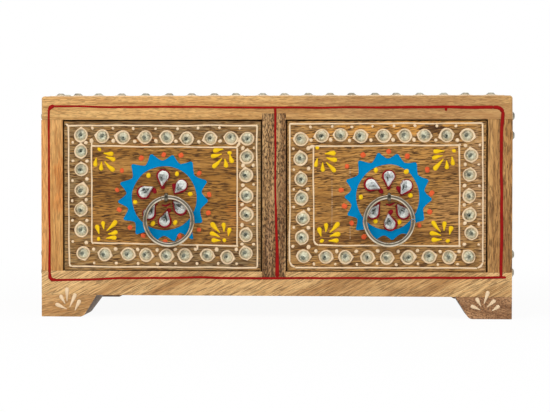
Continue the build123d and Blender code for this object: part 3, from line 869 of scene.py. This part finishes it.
def blank_stone(levels, name):
    """A cut stone in millimetres: a hull over its levels, with a star cut into its table."""
    bm = bmesh.new()
    for circles, height in levels:
        for radius, along, sides, twist in circles:
            turn = Matrix.Rotation(math.radians(360 / sides * twist), 4, "Z")
            place = Matrix.Translation((along, 0, height)) @ turn
            bmesh.ops.create_circle(bm, segments=sides, radius=radius, matrix=place)
    bmesh.ops.delete(bm, geom=bm.edges[:], context="EDGES_FACES")
    made = bmesh.ops.convex_hull(bm, input=bm.verts[:])
    unused = made["geom_interior"] + made["geom_unused"]
    spare = {part for part in unused if isinstance(part, bmesh.types.BMVert)}
    bmesh.ops.delete(bm, geom=list(spare), context="VERTS")
    bmesh.ops.dissolve_limit(bm, angle_limit=math.radians(2), verts=bm.verts, edges=bm.edges)
    table = max(bm.faces, key=lambda facet: facet.calc_center_median().z)
    bmesh.ops.inset_region(bm, faces=[table], thickness=0.42, depth=-table_sink)
    if len(levels[0][0]) == 1:
        bmesh.ops.inset_region(bm, faces=[table], thickness=0.42, depth=-table_sink)
    else:
        bmesh.ops.poke(bm, faces=[table])
    bmesh.ops.recalc_face_normals(bm, faces=bm.faces)
    return kept(bm, name)


round_blank = blank_stone(round_levels, "round_stone")
petal_blank = blank_stone(petal_levels, "petal_stone")

# Stones of each kind: their blank, their finish and its slot
round_cut = (round_blank, round_glass, "round_glass")
edge_cut = (round_blank, shaded_edge_glass, "round_glass")
petal_cut = (petal_blank, petal_glass, "petal_glass")


def set_stones(name, node, place, body, cut, seed):
    """Cut stones where a node's plain ones are, each facet with its own painted tone of reflection and shade
    and each stone with its tint.
    """
    blank, material, slot = cut
    is_petal = blank is petal_blank
    rng = random.Random(seed)
    bm = bmesh.new()
    tones = bm.faces.layers.float.new("facet_tone")
    tints = bm.faces.layers.float.new("stone_tint")
    for u, v, aim in stone_places(node, place):
        turn = aim + 180 if is_petal else rng.uniform(0, 45)
        tint = rng.uniform(-0.3, 0.3)
        tilt = (rng.uniform(-0.25, 0.25), rng.uniform(-0.25, 0.25))
        # Painted shade: petal stones that point upwards, low in their ring, are made darker
        dull = 0.18 * max(0.0, math.sin(math.radians(aim))) if is_petal else 0.0
        points = add_copy(bm, blank)
        own = set(points)
        # Where each stone's painted glint and painted shadow fall, in degrees
        glint, shadow = rng.choice((-45, -55, -35, 25, 60)), rng.choice((135, 150, 110, 20, 200))
        for facet in [facet for facet in bm.faces if facet.verts[0] in own]:
            centre = facet.calc_center_median()
            spread = math.hypot(centre.x, centre.y) / stone_radius
            bearing = math.degrees(math.atan2(centre.y, centre.x)) + turn
            lit, dim = (0.5 + 0.5 * math.cos(math.radians(bearing - aimed)) for aimed in (glint, shadow))
            facet[tones] = facet_tone(spread, lit, dim, is_petal, rng) - dull
            # The tint runs warm at the rim, a painted reflection of the cream round it, and cool at the heart
            facet[tints] = max(0.0, min(1.0, 1.25 - spread + tint))
            facet.smooth = False
        spot = place @ Matrix.Translation((u, v, 0)) @ Matrix.Rotation(math.radians(turn), 4, "Z")
        for vertex in points:
            x, y, z = vertex.co
            vertex.co = spot @ Vector((x + tilt[0] * z, y + tilt[1] * z, z))
    piece(bm, name, body, material, slot, [node], crease=0)


def facet_tone(spread, lit, dim, is_petal, rng):
    """How bright a facet is painted, from 0 to 1, as painted reflection and shade. A petal is darkest at its
    heart. A round stone has a dark heart, a painted glint beside it and a rim with a painted dark side."""
    if is_petal:
        tone = 0.8 * spread + 0.3 * lit - 0.05 + rng.uniform(-0.28, 0.28)
    elif spread < 0.1:
        tone = rng.uniform(0.0, 0.22)
    elif spread < 0.48:
        tone = 0.22 + 0.84 * lit ** 3 + rng.uniform(-0.12, 0.1)
    elif spread < 0.68:
        tone = 0.5 + 0.3 * lit + rng.uniform(-0.16, 0.12)
    else:
        tone = 0.7 - 0.38 * dim ** 4 + rng.uniform(-0.12, 0.12)
    return max(0.0, min(1.0, tone))


def pear_reach(angle):
    """How far a petal stone's edge is from its middle at an angle, its point at 180 degrees round."""
    reach = 0.0
    for step in range(25):
        share = step / 24
        radius, centre = (start + (end - start) * share for start, end in zip(petal_round, petal_point))
        inside = radius ** 2 - (centre * math.sin(angle)) ** 2
        if inside > 0:
            reach = max(reach, centre * math.cos(angle) + math.sqrt(inside))
    return reach


# Painted ornament


def drawn_out(tip, angle):
    """How much further out a round outline runs where straight sides draw it out to a tip."""
    reach = math.acos(outline_radius / (outline_radius + tip))
    return outline_radius / math.cos(max(0.0, reach - abs(angle))) - outline_radius


def stone_outlines(bm, place, stones, aim_of, rng):
    """A cream outline round each stone, drawn out to a point at both ends where the brush left it."""
    for u, v, _ in stones:
        aim = math.radians(aim_of(u, v) + rng.uniform(-14, 14))
        strong, weak = rng.uniform(0.6, 1.25), rng.uniform(0.15, 0.7)
        heavy, uneven = rng.uniform(0, 6.28), rng.uniform(0.05, 0.3)
        width = rng.uniform(0.85, 1.1)

        def edge(angle):
            return outline_start + 0.1 * math.sin(2 * angle + heavy)

        def band(angle):
            back = math.remainder(angle - math.pi, 2 * math.pi)
            drawn = drawn_out(strong, angle) + drawn_out(weak, back)
            return width * (1 + uneven * math.cos(angle - heavy)) + drawn
        outline(bm, place, stone_loop, u, v, aim, edge, band)


def row_dots(bm, place, row, outer, inner, axis, clear, rng):
    """Two cream dots in each gap between the stones of a row, one by each line of its frame. The axis is the
    one across the row."""
    for first, second in zip(row, row[1:]):
        for line, gap, sizes in ((outer, clear, outer_dot_sizes), (inner, inner_dot_gap, inner_dot_sizes)):
            spot = [(a + b) / 2 for a, b in zip(first, second)]
            spot[axis] = line + (gap if line < first[axis] else -gap) + rng.uniform(-0.35, 0.35)
            size = rng.uniform(*sizes)
            spot[1 - axis] += rng.uniform(-0.7, 0.7)
            dab(bm, place, *spot, size, rng=rng)


def frame_line(bm, place, corners, width, seed):
    """Four cream lines that meet at the corners of a frame, some of them taken round in a bend."""
    widths = (width * 1.15, width, width * 0.85, width * 1.05, width * 0.9, width * 1.15)
    bend_widths = (width, width * 1.4, width)
    for i, (u, v, bend) in enumerate(corners):
        corner = (u, v)
        *before, _ = corners[i - 1]
        *after, next_bend = corners[(i + 1) % len(corners)]
        start, end = toward(corner, before, bend), toward(corner, after, bend)
        if bend:
            knee = [0.3 * at + 0.35 * (first + second) for at, first, second in zip(corner, start, end)]
            bead(bm, place, route([start, knee, end]), bend_widths, line_rise, slip_rings, sides=6)
        line = route([end, toward(after, corner, next_bend)], 0.4, seed + i)
        rings = max(20, int(math.dist(corner, after) / 2.5))
        bead(bm, place, line, widths, line_rise, rings, sides=6)


def sun(bm, place, u, v, points, edges, rng):
    """A flat ring of paint with points round it."""
    per_point = 16
    count = per_point * len(points)
    rings = [bmesh.ops.create_circle(bm, segments=count, radius=radius)["verts"] for radius in (2.0, 1.0)]
    loops = list({edge for made in rings for vertex in made for edge in vertex.link_edges})
    flat = bmesh.ops.bridge_loops(bm, edges=loops)["faces"]
    drift = rng.uniform(0, 9)
    for made, outer in zip(rings, (True, False)):
        for vertex in made:
            index = round(math.atan2(vertex.co.y, vertex.co.x) / (2 * math.pi) * count) % count
            which, step = divmod(index, per_point)
            start, first_tip = points[which]
            end, second_tip = points[(which + 1) % len(points)]
            share = step / per_point
            angle = math.radians(start + (end - start) % 360 * share)
            wander = 0.3 * noise.noise(Vector((math.cos(angle) * 2, math.sin(angle) * 2, drift)))
            pulls = [max(0, math.cos(angle - quarter * math.pi / 2)) ** 2 for quarter in range(4)]
            radius = sum(pull * edge for pull, edge in zip(pulls, edges)) + wander
            if outer:
                valley = radius + sun_band
                tip = first_tip if share < 0.5 else second_tip
                radius = valley + (tip - valley) * min(1.0, 1.1 * abs(2 * share - 1)) ** sun_point_curve
            vertex.co = (u + radius * math.cos(angle), v + radius * math.sin(angle), -paint_sink)
    raised = bmesh.ops.extrude_face_region(bm, geom=flat)["geom"]
    lifted = [part for part in raised if isinstance(part, bmesh.types.BMVert)]
    bmesh.ops.translate(bm, verts=lifted, vec=(0, 0, paint_sink + sun_rise))
    top = [part for part in raised if isinstance(part, bmesh.types.BMFace)]
    bmesh.ops.inset_region(bm, faces=top, thickness=0.2, depth=0.1, use_even_offset=True)
    bmesh.ops.transform(bm, verts=bm.verts, matrix=place)


def ring_dots(name, place, body, heart, dots, sizes, material, slot, rng, block=0.0):
    """Dots of paint at radii and angles about a point."""
    bm = bmesh.new()
    for radius, angle in dots:
        turn = math.radians(angle)
        u, v = heart[0] + radius * math.cos(turn), heart[1] + radius * math.sin(turn)
        dab(bm, place, u, v, rng.uniform(*sizes), flat_dot_rise, rng, block)
    piece(bm, name, body, material, slot)


def motif(prefix, place, body, petals, side, heart, seed, hub_smears=()):
    """The painted sun, its dots and the dark red outlines of its petal stones, for one ring of them."""
    rng = random.Random(seed)
    bm = bmesh.new()
    sun(bm, place, *heart, sun_points[side], sun_edges[side], rng)
    piece(bm, f"{prefix}_blue_sun", body, blue, "blue_paint", crease=40)
    ring_dots(f"{prefix}_orange_dots", place, body, heart, orange_dots[side], orange_sizes, orange,
              "orange_paint", rng, square_brush)
    ring_dots(f"{prefix}_yellow_dots", place, body, heart, yellow_dots[side], yellow_sizes, yellow,
              "yellow_paint", rng)
    bm = bmesh.new()
    around = sorted(petals, key=lambda stone: math.atan2(stone[1] - heart[1], stone[0] - heart[0]))
    for (u, v, aim), (smear, reach) in zip(around, smears[side]):
        heavy = math.radians(smear - aim - 180) * 0.6 + rng.uniform(-0.3, 0.3)

        def band(angle):
            return 0.95 + 0.45 * math.cos(angle - math.pi - heavy) + 0.12 * math.sin(3 * angle + heavy)
        outline(bm, place, petal_loop, u, v, math.radians(aim + 180), lambda angle: pear_reach(angle) - 0.5,
                band, crimson_rise)
        turn, lean = math.radians(aim), math.radians(smear)
        tip = (u + 3.8 * math.cos(turn), v + 3.8 * math.sin(turn))
        smeared = (tip[0] + (reach + 1) * math.cos(lean), tip[1] + (reach + 1) * math.sin(lean))
        bead(bm, place, route([tip, smeared]), (2.3, 2.7, 1.9), smear_rise, 10)
    for under in hub_smears:
        points = [(heart[0] + a, heart[1] + b) for a, b in under]
        bead(bm, place, route(points), (0.7, 1.3, 0.8), hub_smear_rise, 14)
    piece(bm, f"{prefix}_crimson_outlines", body, crimson, "dark_red_paint")


def corner_fans(name, place, body, corners, seed):
    """A fan of five yellow petals and a dot in each corner."""
    rng = random.Random(seed)
    bm = bmesh.new()
    for (across, up), (dot_u, dot_v), (heart_in, heart_up) in corners:
        dab(bm, place, dot_u, dot_v, fan_dot_size, flat_dot_rise, rng)
        u, v = dot_u + across * heart_in, dot_v + up * heart_up
        for thin, fat in fan_petals:
            ends = [(u + across * (x + rng.uniform(-0.3, 0.3)), v + up * (y + rng.uniform(-0.3, 0.3)))
                    for x, y in (thin, fat)]
            petal(bm, place, *ends, rng.uniform(2.5, 2.9), fan_rise, rng.uniform(-0.06, 0.06))
    piece(bm, name, body, yellow, "yellow_paint")


def rows_of(stones, inset=4.0):
    """The stones of a border as its four rows, each in order and with its corner stones."""
    us, vs = [stone[0] for stone in stones], [stone[1] for stone in stones]
    ends = {"top": (1, 1, max(vs)), "bottom": (1, -1, min(vs)),
            "left": (0, -1, min(us)), "right": (0, 1, max(us))}
    rows = {}
    for name, (axis, way, end) in ends.items():
        row = [stone[:2] for stone in stones if way * (end - stone[axis]) < inset]
        rows[name] = sorted(row, key=lambda place: place[1 - axis])
    return rows


def border(prefix, place, body, node, outer, inner, tips, slips, seed):
    """The cream frame lines, stone outlines and dots of a border of stones."""
    rng = random.Random(seed)
    stones = stone_places(node, place)
    rows = rows_of(stones)
    bm = bmesh.new()
    frame_line(bm, place, outer, frame_width, seed)
    frame_line(bm, place, inner, frame_width, seed + 4)
    for *points, widths in slips:
        bead(bm, place, route(points), widths, line_rise, slip_rings, sides=6)
    piece(bm, f"{prefix}_cream_frames", body, cream, "cream_paint")
    bm = bmesh.new()

    def aim_of(u, v):
        for tip, corner in zip(tips, itertools.product(("top", "bottom"), ("left", "right"))):
            if all((u, v) in rows[name] for name in corner):
                return tip
        return 180 if (u, v) in rows["top"] else 0 if (u, v) in rows["bottom"] else 90
    stone_outlines(bm, place, stones, aim_of, rng)
    for name, i, j, axis in (("top", 0, 1, 1), ("bottom", 2, 3, 1), ("left", 0, 3, 0), ("right", 1, 2, 0)):
        lines = [(frame[i][axis] + frame[j][axis]) / 2 for frame in (outer, inner)]
        row_dots(bm, place, rows[name], *lines, axis, outer_dot_gaps[name], rng)
    piece(bm, f"{prefix}_cream_beads", body, cream, "cream_paint")


# Metal


def pull_ring(side):
    """A plain wire ring, butted where its two ends meet."""
    low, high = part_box(f"{side}_pull_ring")
    wire = (high.y - low.y) / mm
    radius = ((high.x - low.x) / mm - wire) / 2
    place = face((low + high) / 2, (1, 0, 0), (0, 0, 1))
    gap = math.degrees(joint_gap / radius)
    start = Matrix.Rotation(math.radians(ring_joints[side] + gap / 2), 4, "Z")
    bm = bmesh.new()
    section = bmesh.ops.create_circle(bm, cap_ends=True, segments=16, radius=wire / 2)["verts"]
    stand = start @ Matrix.Translation((radius, 0, 0)) @ Matrix.Rotation(math.pi / 2, 4, "X")
    bmesh.ops.transform(bm, verts=section, matrix=stand)
    bmesh.ops.spin(bm, geom=bm.verts[:] + bm.edges[:] + bm.faces[:], cent=(0, 0, 0), axis=(0, 0, 1),
                   dvec=(0, 0, 0), angle=math.radians(360 - gap), steps=110)
    rims = [edge for edge in bm.edges if any(len(f.verts) > 4 for f in edge.link_faces)]
    ease(bm, rims, cut_ease)
    bmesh.ops.transform(bm, verts=bm.verts, matrix=place)
    piece(bm, f"{side}_pull_ring_wire", f"{side}_ring", nickel, "nickel", [f"{side}_pull_ring"], crease=40)


def split_pin(side):
    """A split pin bent from half-round wire: an eye in front, two shanks and two legs folded over behind."""
    low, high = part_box(f"{side}_drawer_split_pin")
    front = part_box(f"{side}_drawer_front")
    eye_radius, eye_width, wire, shank_radius = 2.55, 2.0, 1.0, 1.08
    hub = (front[0].y - low.y) / mm - eye_radius
    inside = -(front[1].y - front[0].y) / mm
    leg_length, leg_thick = (high.z - low.z) / mm / 2, (high.y - front[1].y) / mm
    place = face(((low.x + high.x) / 2, front[0].y, (low.z + high.z) / 2), (1, 0, 0), (0, 0, 1))
    bm = bmesh.new()
    band = bmesh.ops.create_circle(bm, segments=10, radius=0.5)["verts"]
    for vertex in band:
        vertex.co = Vector((vertex.co.x * eye_width, eye_radius - wire / 2 + vertex.co.y * wire, hub))
    bmesh.ops.spin(bm, geom=bm.verts[:] + bm.edges[:], cent=(0, 0, hub), axis=(1, 0, 0), dvec=(0, 0, 0),
                   angle=2 * math.pi, steps=32, use_merge=True)
    shank_top = hub - eye_radius + wire / 2
    for way in (1, -1):
        half = bmesh.new()
        bmesh.ops.create_cone(half, cap_ends=True, segments=16, radius1=shank_radius, radius2=shank_radius,
                              depth=shank_top - inside)
        cut = bmesh.ops.bisect_plane(half, geom=half.verts[:] + half.edges[:] + half.faces[:], dist=1e-5,
                                     plane_co=(0, way * 0.05, 0), plane_no=(0, -way, 0), clear_outer=True)
        open_edges = [part for part in cut["geom_cut"] if isinstance(part, bmesh.types.BMEdge)]
        bmesh.ops.holes_fill(half, edges=open_edges)
        bmesh.ops.translate(half, verts=half.verts, vec=(0, 0, (shank_top + inside) / 2))
        leg = bmesh.ops.create_cube(half, size=1)["verts"]
        for vertex in leg:
            vertex.co = Vector((vertex.co.x * eye_width, way * (0.5 + vertex.co.y) * leg_length,
                                inside - leg_thick / 2 + vertex.co.z * leg_thick))
        leg_edges = list({edge for vertex in leg for edge in vertex.link_edges})
        ease(half, leg_edges, leg_ease, segments=3)
        bmesh.ops.recalc_face_normals(half, faces=half.faces)
        bm.from_mesh(kept(half, "split_pin_half"))
    bmesh.ops.transform(bm, verts=bm.verts, matrix=place)
    piece(bm, f"{side}_split_pin_wire", f"{side}_drawer", pin_nickel, "nickel",
          [f"{side}_drawer_split_pin"], crease=45)


# Lining


def lining(side):
    """A sheet of felt cut a little unevenly and laid in the drawer."""
    low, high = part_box(f"{side}_drawer_lining")
    width, length = (high[i] - low[i] for i in (0, 1))
    bm = bmesh.new()
    bmesh.ops.create_grid(bm, x_segments=36, y_segments=48, size=0.5)
    for vertex in bm.verts:
        u, v = vertex.co.x, vertex.co.y
        snip = 0.25 * mm * noise.noise(Vector((u * 9, v * 9, 3.0))) - 0.25 * mm
        wave = 0.15 * mm * noise.noise(Vector((u * 5, v * 5, 1.0)))
        vertex.co = Vector((low.x + (u + 0.5) * width + 2 * u * snip,
                            low.y + (v + 0.5) * length + 2 * v * snip, high.z - 0.18 * mm + wave))
    top = bm.faces[:]
    bmesh.ops.recalc_face_normals(bm, faces=bm.faces)
    down = bmesh.ops.extrude_face_region(bm, geom=top, use_keep_orig=True)["geom"]
    for part in down:
        if isinstance(part, bmesh.types.BMVert):
            part.co.z = low.z + 0.02 * mm
    made = piece(bm, f"{side}_drawer_felt", f"{side}_drawer", felt, "felt", [f"{side}_drawer_lining"],
                 crease=50)


# The case


def dress_case():
    for node, material, slot in (
            ("top_board", top_wood, "pale_mango"), ("bottom_board", bottom_wood, "pale_mango"),
            ("left_side_board", left_wood, "warm_mango"), ("right_side_board", right_wood, "brown_mango"),
            ("centre_divider", divider_wood, "brown_mango")):
        softened(node, "case", material, slot)
    softened("back_panel", "case", panel_wood, "thin_board", panel_ease)
    for corner, material in foot_woods.items():
        softened(f"{corner}_foot", "case", material, "warm_mango")
    for node, material in (("back_panel_pins", steel), ("foot_screws", steel), ("case_dowels", peg_wood)):
        recolour(node, material)


def red_paint():
    """The red line round the front of the case and down its divider."""
    bm = bmesh.new()
    for index, (points, widths) in enumerate(red_strokes):
        length = sum(math.dist(a, b) for a, b in zip(points, points[1:]))
        waver = 0.3 if length > 20 else 0.0
        rings = max(12, int(length / 2.2))
        bead(bm, case_front, route(points, waver, index), widths, red_line_rise, rings)
    piece(bm, "case_red_lines", "case", red, "red_paint")


def foot_paint():
    """Five cream petals on each front foot."""
    for side, petals in foot_petals.items():
        bm = bmesh.new()
        for thin, fat in petals:
            petal(bm, case_front, thin, fat, foot_petal_width, foot_petal_rise)
        piece(bm, f"{side}_foot_petals", "case", cream, "cream_paint")


def box_corners(half_u, half_v):
    """A frame's corners about the middle of a face."""
    return ((-half_u, half_v, 0), (half_u, half_v, 0), (half_u, -half_v, 0), (-half_u, -half_v, 0))


def heart_of(group):
    """The middle of a group of stones."""
    return [sum(stone[i] for stone in group) / len(group) for i in (0, 1)]


def dress_top():
    """The border and the two suns on the top board."""
    frames = [box_corners(half_wide - inset, half_deep - inset) for inset in top_frame_insets]
    border("top", top_face, "case", "top_border_stones", *frames, (180, 0, 180, 0), (), 31)
    set_stones("top_round_stones", "top_border_stones", top_face, "case", edge_cut, 32)
    set_stones("top_sun_stones", "top_petal_stones", top_face, "case", petal_cut, 33)
    petals = stone_places("top_petal_stones", top_face)
    for tag, side in ((1, "left"), (2, "right")):
        group = [stone for stone in petals if (stone[0] < 0) == (side == "left")]
        motif(f"top_{tag}", top_face, "case", group, side, heart_of(group), 34 + tag)
    corners = []
    for across, up in itertools.product((1, -1), repeat=2):
        dot = (-across * (half_wide - top_fan_inset), -up * (half_deep - top_fan_inset))
        corners.append(((across, up), dot, top_fan_heart))
    corner_fans("top_yellow_fans", top_face, "case", corners, 35)


def dress_side(side):
    """The stones, lines and sun on one end of the case."""
    place = side_faces[side]
    node, petals = f"{side}_side_stones", f"{side}_side_petal_stones"
    seed = 41 if side == "left" else 51
    rng = random.Random(seed)
    bm = bmesh.new()
    inset_u, inset_v = side_frame_insets
    frame_line(bm, place, box_corners(half_deep - inset_u, half_tall - inset_v), side_frame_width, seed)
    piece(bm, f"{side}_side_cream_frame", "case", cream, "cream_paint")
    bm = bmesh.new()
    stone_outlines(bm, place, stone_places(node, place), lambda u, v: 0 if u < 0 else 180, rng)
    piece(bm, f"{side}_side_cream_beads", "case", cream, "cream_paint")
    set_stones(f"{side}_side_round_stones", node, place, "case", edge_cut, seed + 1)
    set_stones(f"{side}_side_sun_stones", petals, place, "case", petal_cut, seed + 2)
    group = stone_places(petals, place)
    motif(f"{side}_side", place, "case", group, side, heart_of(group), seed + 3)


# Drawers


def dress_drawer(side):
    body = f"{side}_drawer"
    place = drawer_faces[side]
    seed = 11 if side == "left" else 21
    softened(f"{side}_drawer_front", body, drawer_woods[side], "drawer_mango", panel_ease)
    for wall, material in (("left_side", side_wood), ("right_side", side_wood), ("back", back_wood)):
        softened(f"{side}_drawer_{wall}", body, material, "inner_wood", panel_ease)
    recolour(f"{side}_drawer_bottom", floor_wood)
    recolour(f"{side}_drawer_pins", steel)
    lining(side)
    border(body, place, body, f"{body}_border_stones", outer_frames[side], inner_frames[side],
           corner_tips[side], cream_slips[side], seed)
    set_stones(f"{body}_round_stones", f"{body}_border_stones", place, body, round_cut, seed + 1)
    petals = f"{body}_petal_stones"
    set_stones(f"{body}_sun_stones", petals, place, body, petal_cut, seed + 2)
    motif(body, place, body, stone_places(petals, place), side, ring_hearts[side], seed + 3, [hub_smear])
    corner_fans(f"{body}_yellow_fans", place, body, fans[side], seed + 4)
    split_pin(side)
    pull_ring(side)


# Studio


def floor():
    """A pale floor that keeps the box's shadow near it and fades to plain white far away. Metal shows it
    white near the box and darker towards the camera."""
    bm = bmesh.new()
    bmesh.ops.create_grid(bm, x_segments=1, y_segments=1, size=6.0)
    ground = Finish("studio_floor")
    grain = ground.noise((400, 400, 400), detail=1.0)
    colour = ground.mix(ground.range(grain, 0.3, 0.7), shade(250, 250, 249), shade(247, 247, 246))
    matte = ground.add("ShaderNodeBsdfDiffuse", {"Color": colour}).outputs[0]
    distance = ground.add("ShaderNodeVectorMath", {0: ground.place}, operation="LENGTH").outputs["Value"]
    path = ground.add("ShaderNodeLightPath").outputs
    mirrored = ground.sum("MAXIMUM", path["Is Glossy Ray"], path["Is Transmission Ray"])
    ahead = ground.add("ShaderNodeSeparateXYZ", {0: ground.place}).outputs[1]
    strength = ground.sum("MAXIMUM", path["Is Camera Ray"], ground.range(ahead, -0.3, -0.13, *metal_floor))
    plain = ground.add("ShaderNodeEmission", {"Color": white, "Strength": strength}).outputs[0]
    seen = ground.sum("MAXIMUM", path["Is Camera Ray"], mirrored)
    fade = ground.sum("MULTIPLY", ground.range(distance, 0.12, 0.5, *floor_fade), seen)
    ground.add("ShaderNodeOutputMaterial", {"Surface": ground.blend(fade, matte, plain)})
    put("studio_floor", finish_mesh(bm, "studio_floor", ground.material))


def sky():
    """White all round to the camera, with a darker stretch behind it for metal and glass to show."""
    world = bpy.data.worlds.new("studio")
    bpy.context.scene.world = world
    world.use_nodes = True
    air = Nodes(world.node_tree)
    path = air.add("ShaderNodeLightPath").outputs
    gaze = air.add("ShaderNodeTexCoord").outputs["Generated"]
    ahead = {0: gaze, 1: (0.05, -1.0, 0.05)}
    facing = air.add("ShaderNodeVectorMath", ahead, operation="DOT_PRODUCT").outputs["Value"]
    card = air.range(facing, 0.05, 0.75, *metal_sky)
    mirrored = air.sum("MAXIMUM", path["Is Glossy Ray"], path["Is Transmission Ray"])
    soft, shown, plain = (air.add("ShaderNodeBackground", {"Color": white, "Strength": strength}).outputs[0]
                          for strength in (sky_strength, card, 1.0))
    unseen = air.blend(mirrored, soft, shown)
    air.add("ShaderNodeOutputWorld", {"Surface": air.blend(path["Is Camera Ray"], unseen, plain)})


def lamp(name, place, size, power, in_metal=False):
    """A soft square lamp. Metal and glass show the plain sky in its place unless it is to be seen in them."""
    light = bpy.data.lights.new(name, "AREA")
    light.shape = "SQUARE"
    light.size = size
    light.energy = power
    made = put(name, light)
    made.location = place
    made.visible_glossy = in_metal
    made.rotation_euler = (Vector(lamp_aim) - Vector(place)).to_track_quat("-Z", "Y").to_euler()


def camera():
    """The photograph's own view."""
    lens = bpy.data.cameras.new("photo_camera")
    lens.sensor_fit = "HORIZONTAL"
    lens.sensor_width = sensor_width
    lens.lens = sensor_width * lens_pixels / photo_width
    lens.clip_start = 0.01
    lens.clip_end = 50.0
    made = put("photo_camera", lens)
    turn = Matrix.Rotation(math.radians(camera_turn), 4, "Z")
    drop = Matrix.Rotation(math.radians(90 - camera_drop), 4, "X")
    roll = Matrix.Rotation(math.radians(camera_roll), 4, "Z")
    made.matrix_world = Matrix.Translation(camera_place) @ turn @ drop @ roll
    bpy.context.scene.camera = made


camera()
dress_case()
red_paint()
foot_paint()
dress_top()
for side in ("left", "right"):
    dress_side(side)
    dress_drawer(side)
floor()
sky()
lamp("key_lamp", place=(-0.7, -1.1, 1.0), size=0.8, power=11.5)
lamp("fill_lamp", place=(0.9, -1.2, 0.6), size=1.0, power=6.6)
lamp("top_lamp", place=(0.0, 0.15, 1.4), size=1.2, power=4.2, in_metal=True)
bpy.context.scene.view_settings.view_transform = "Standard"
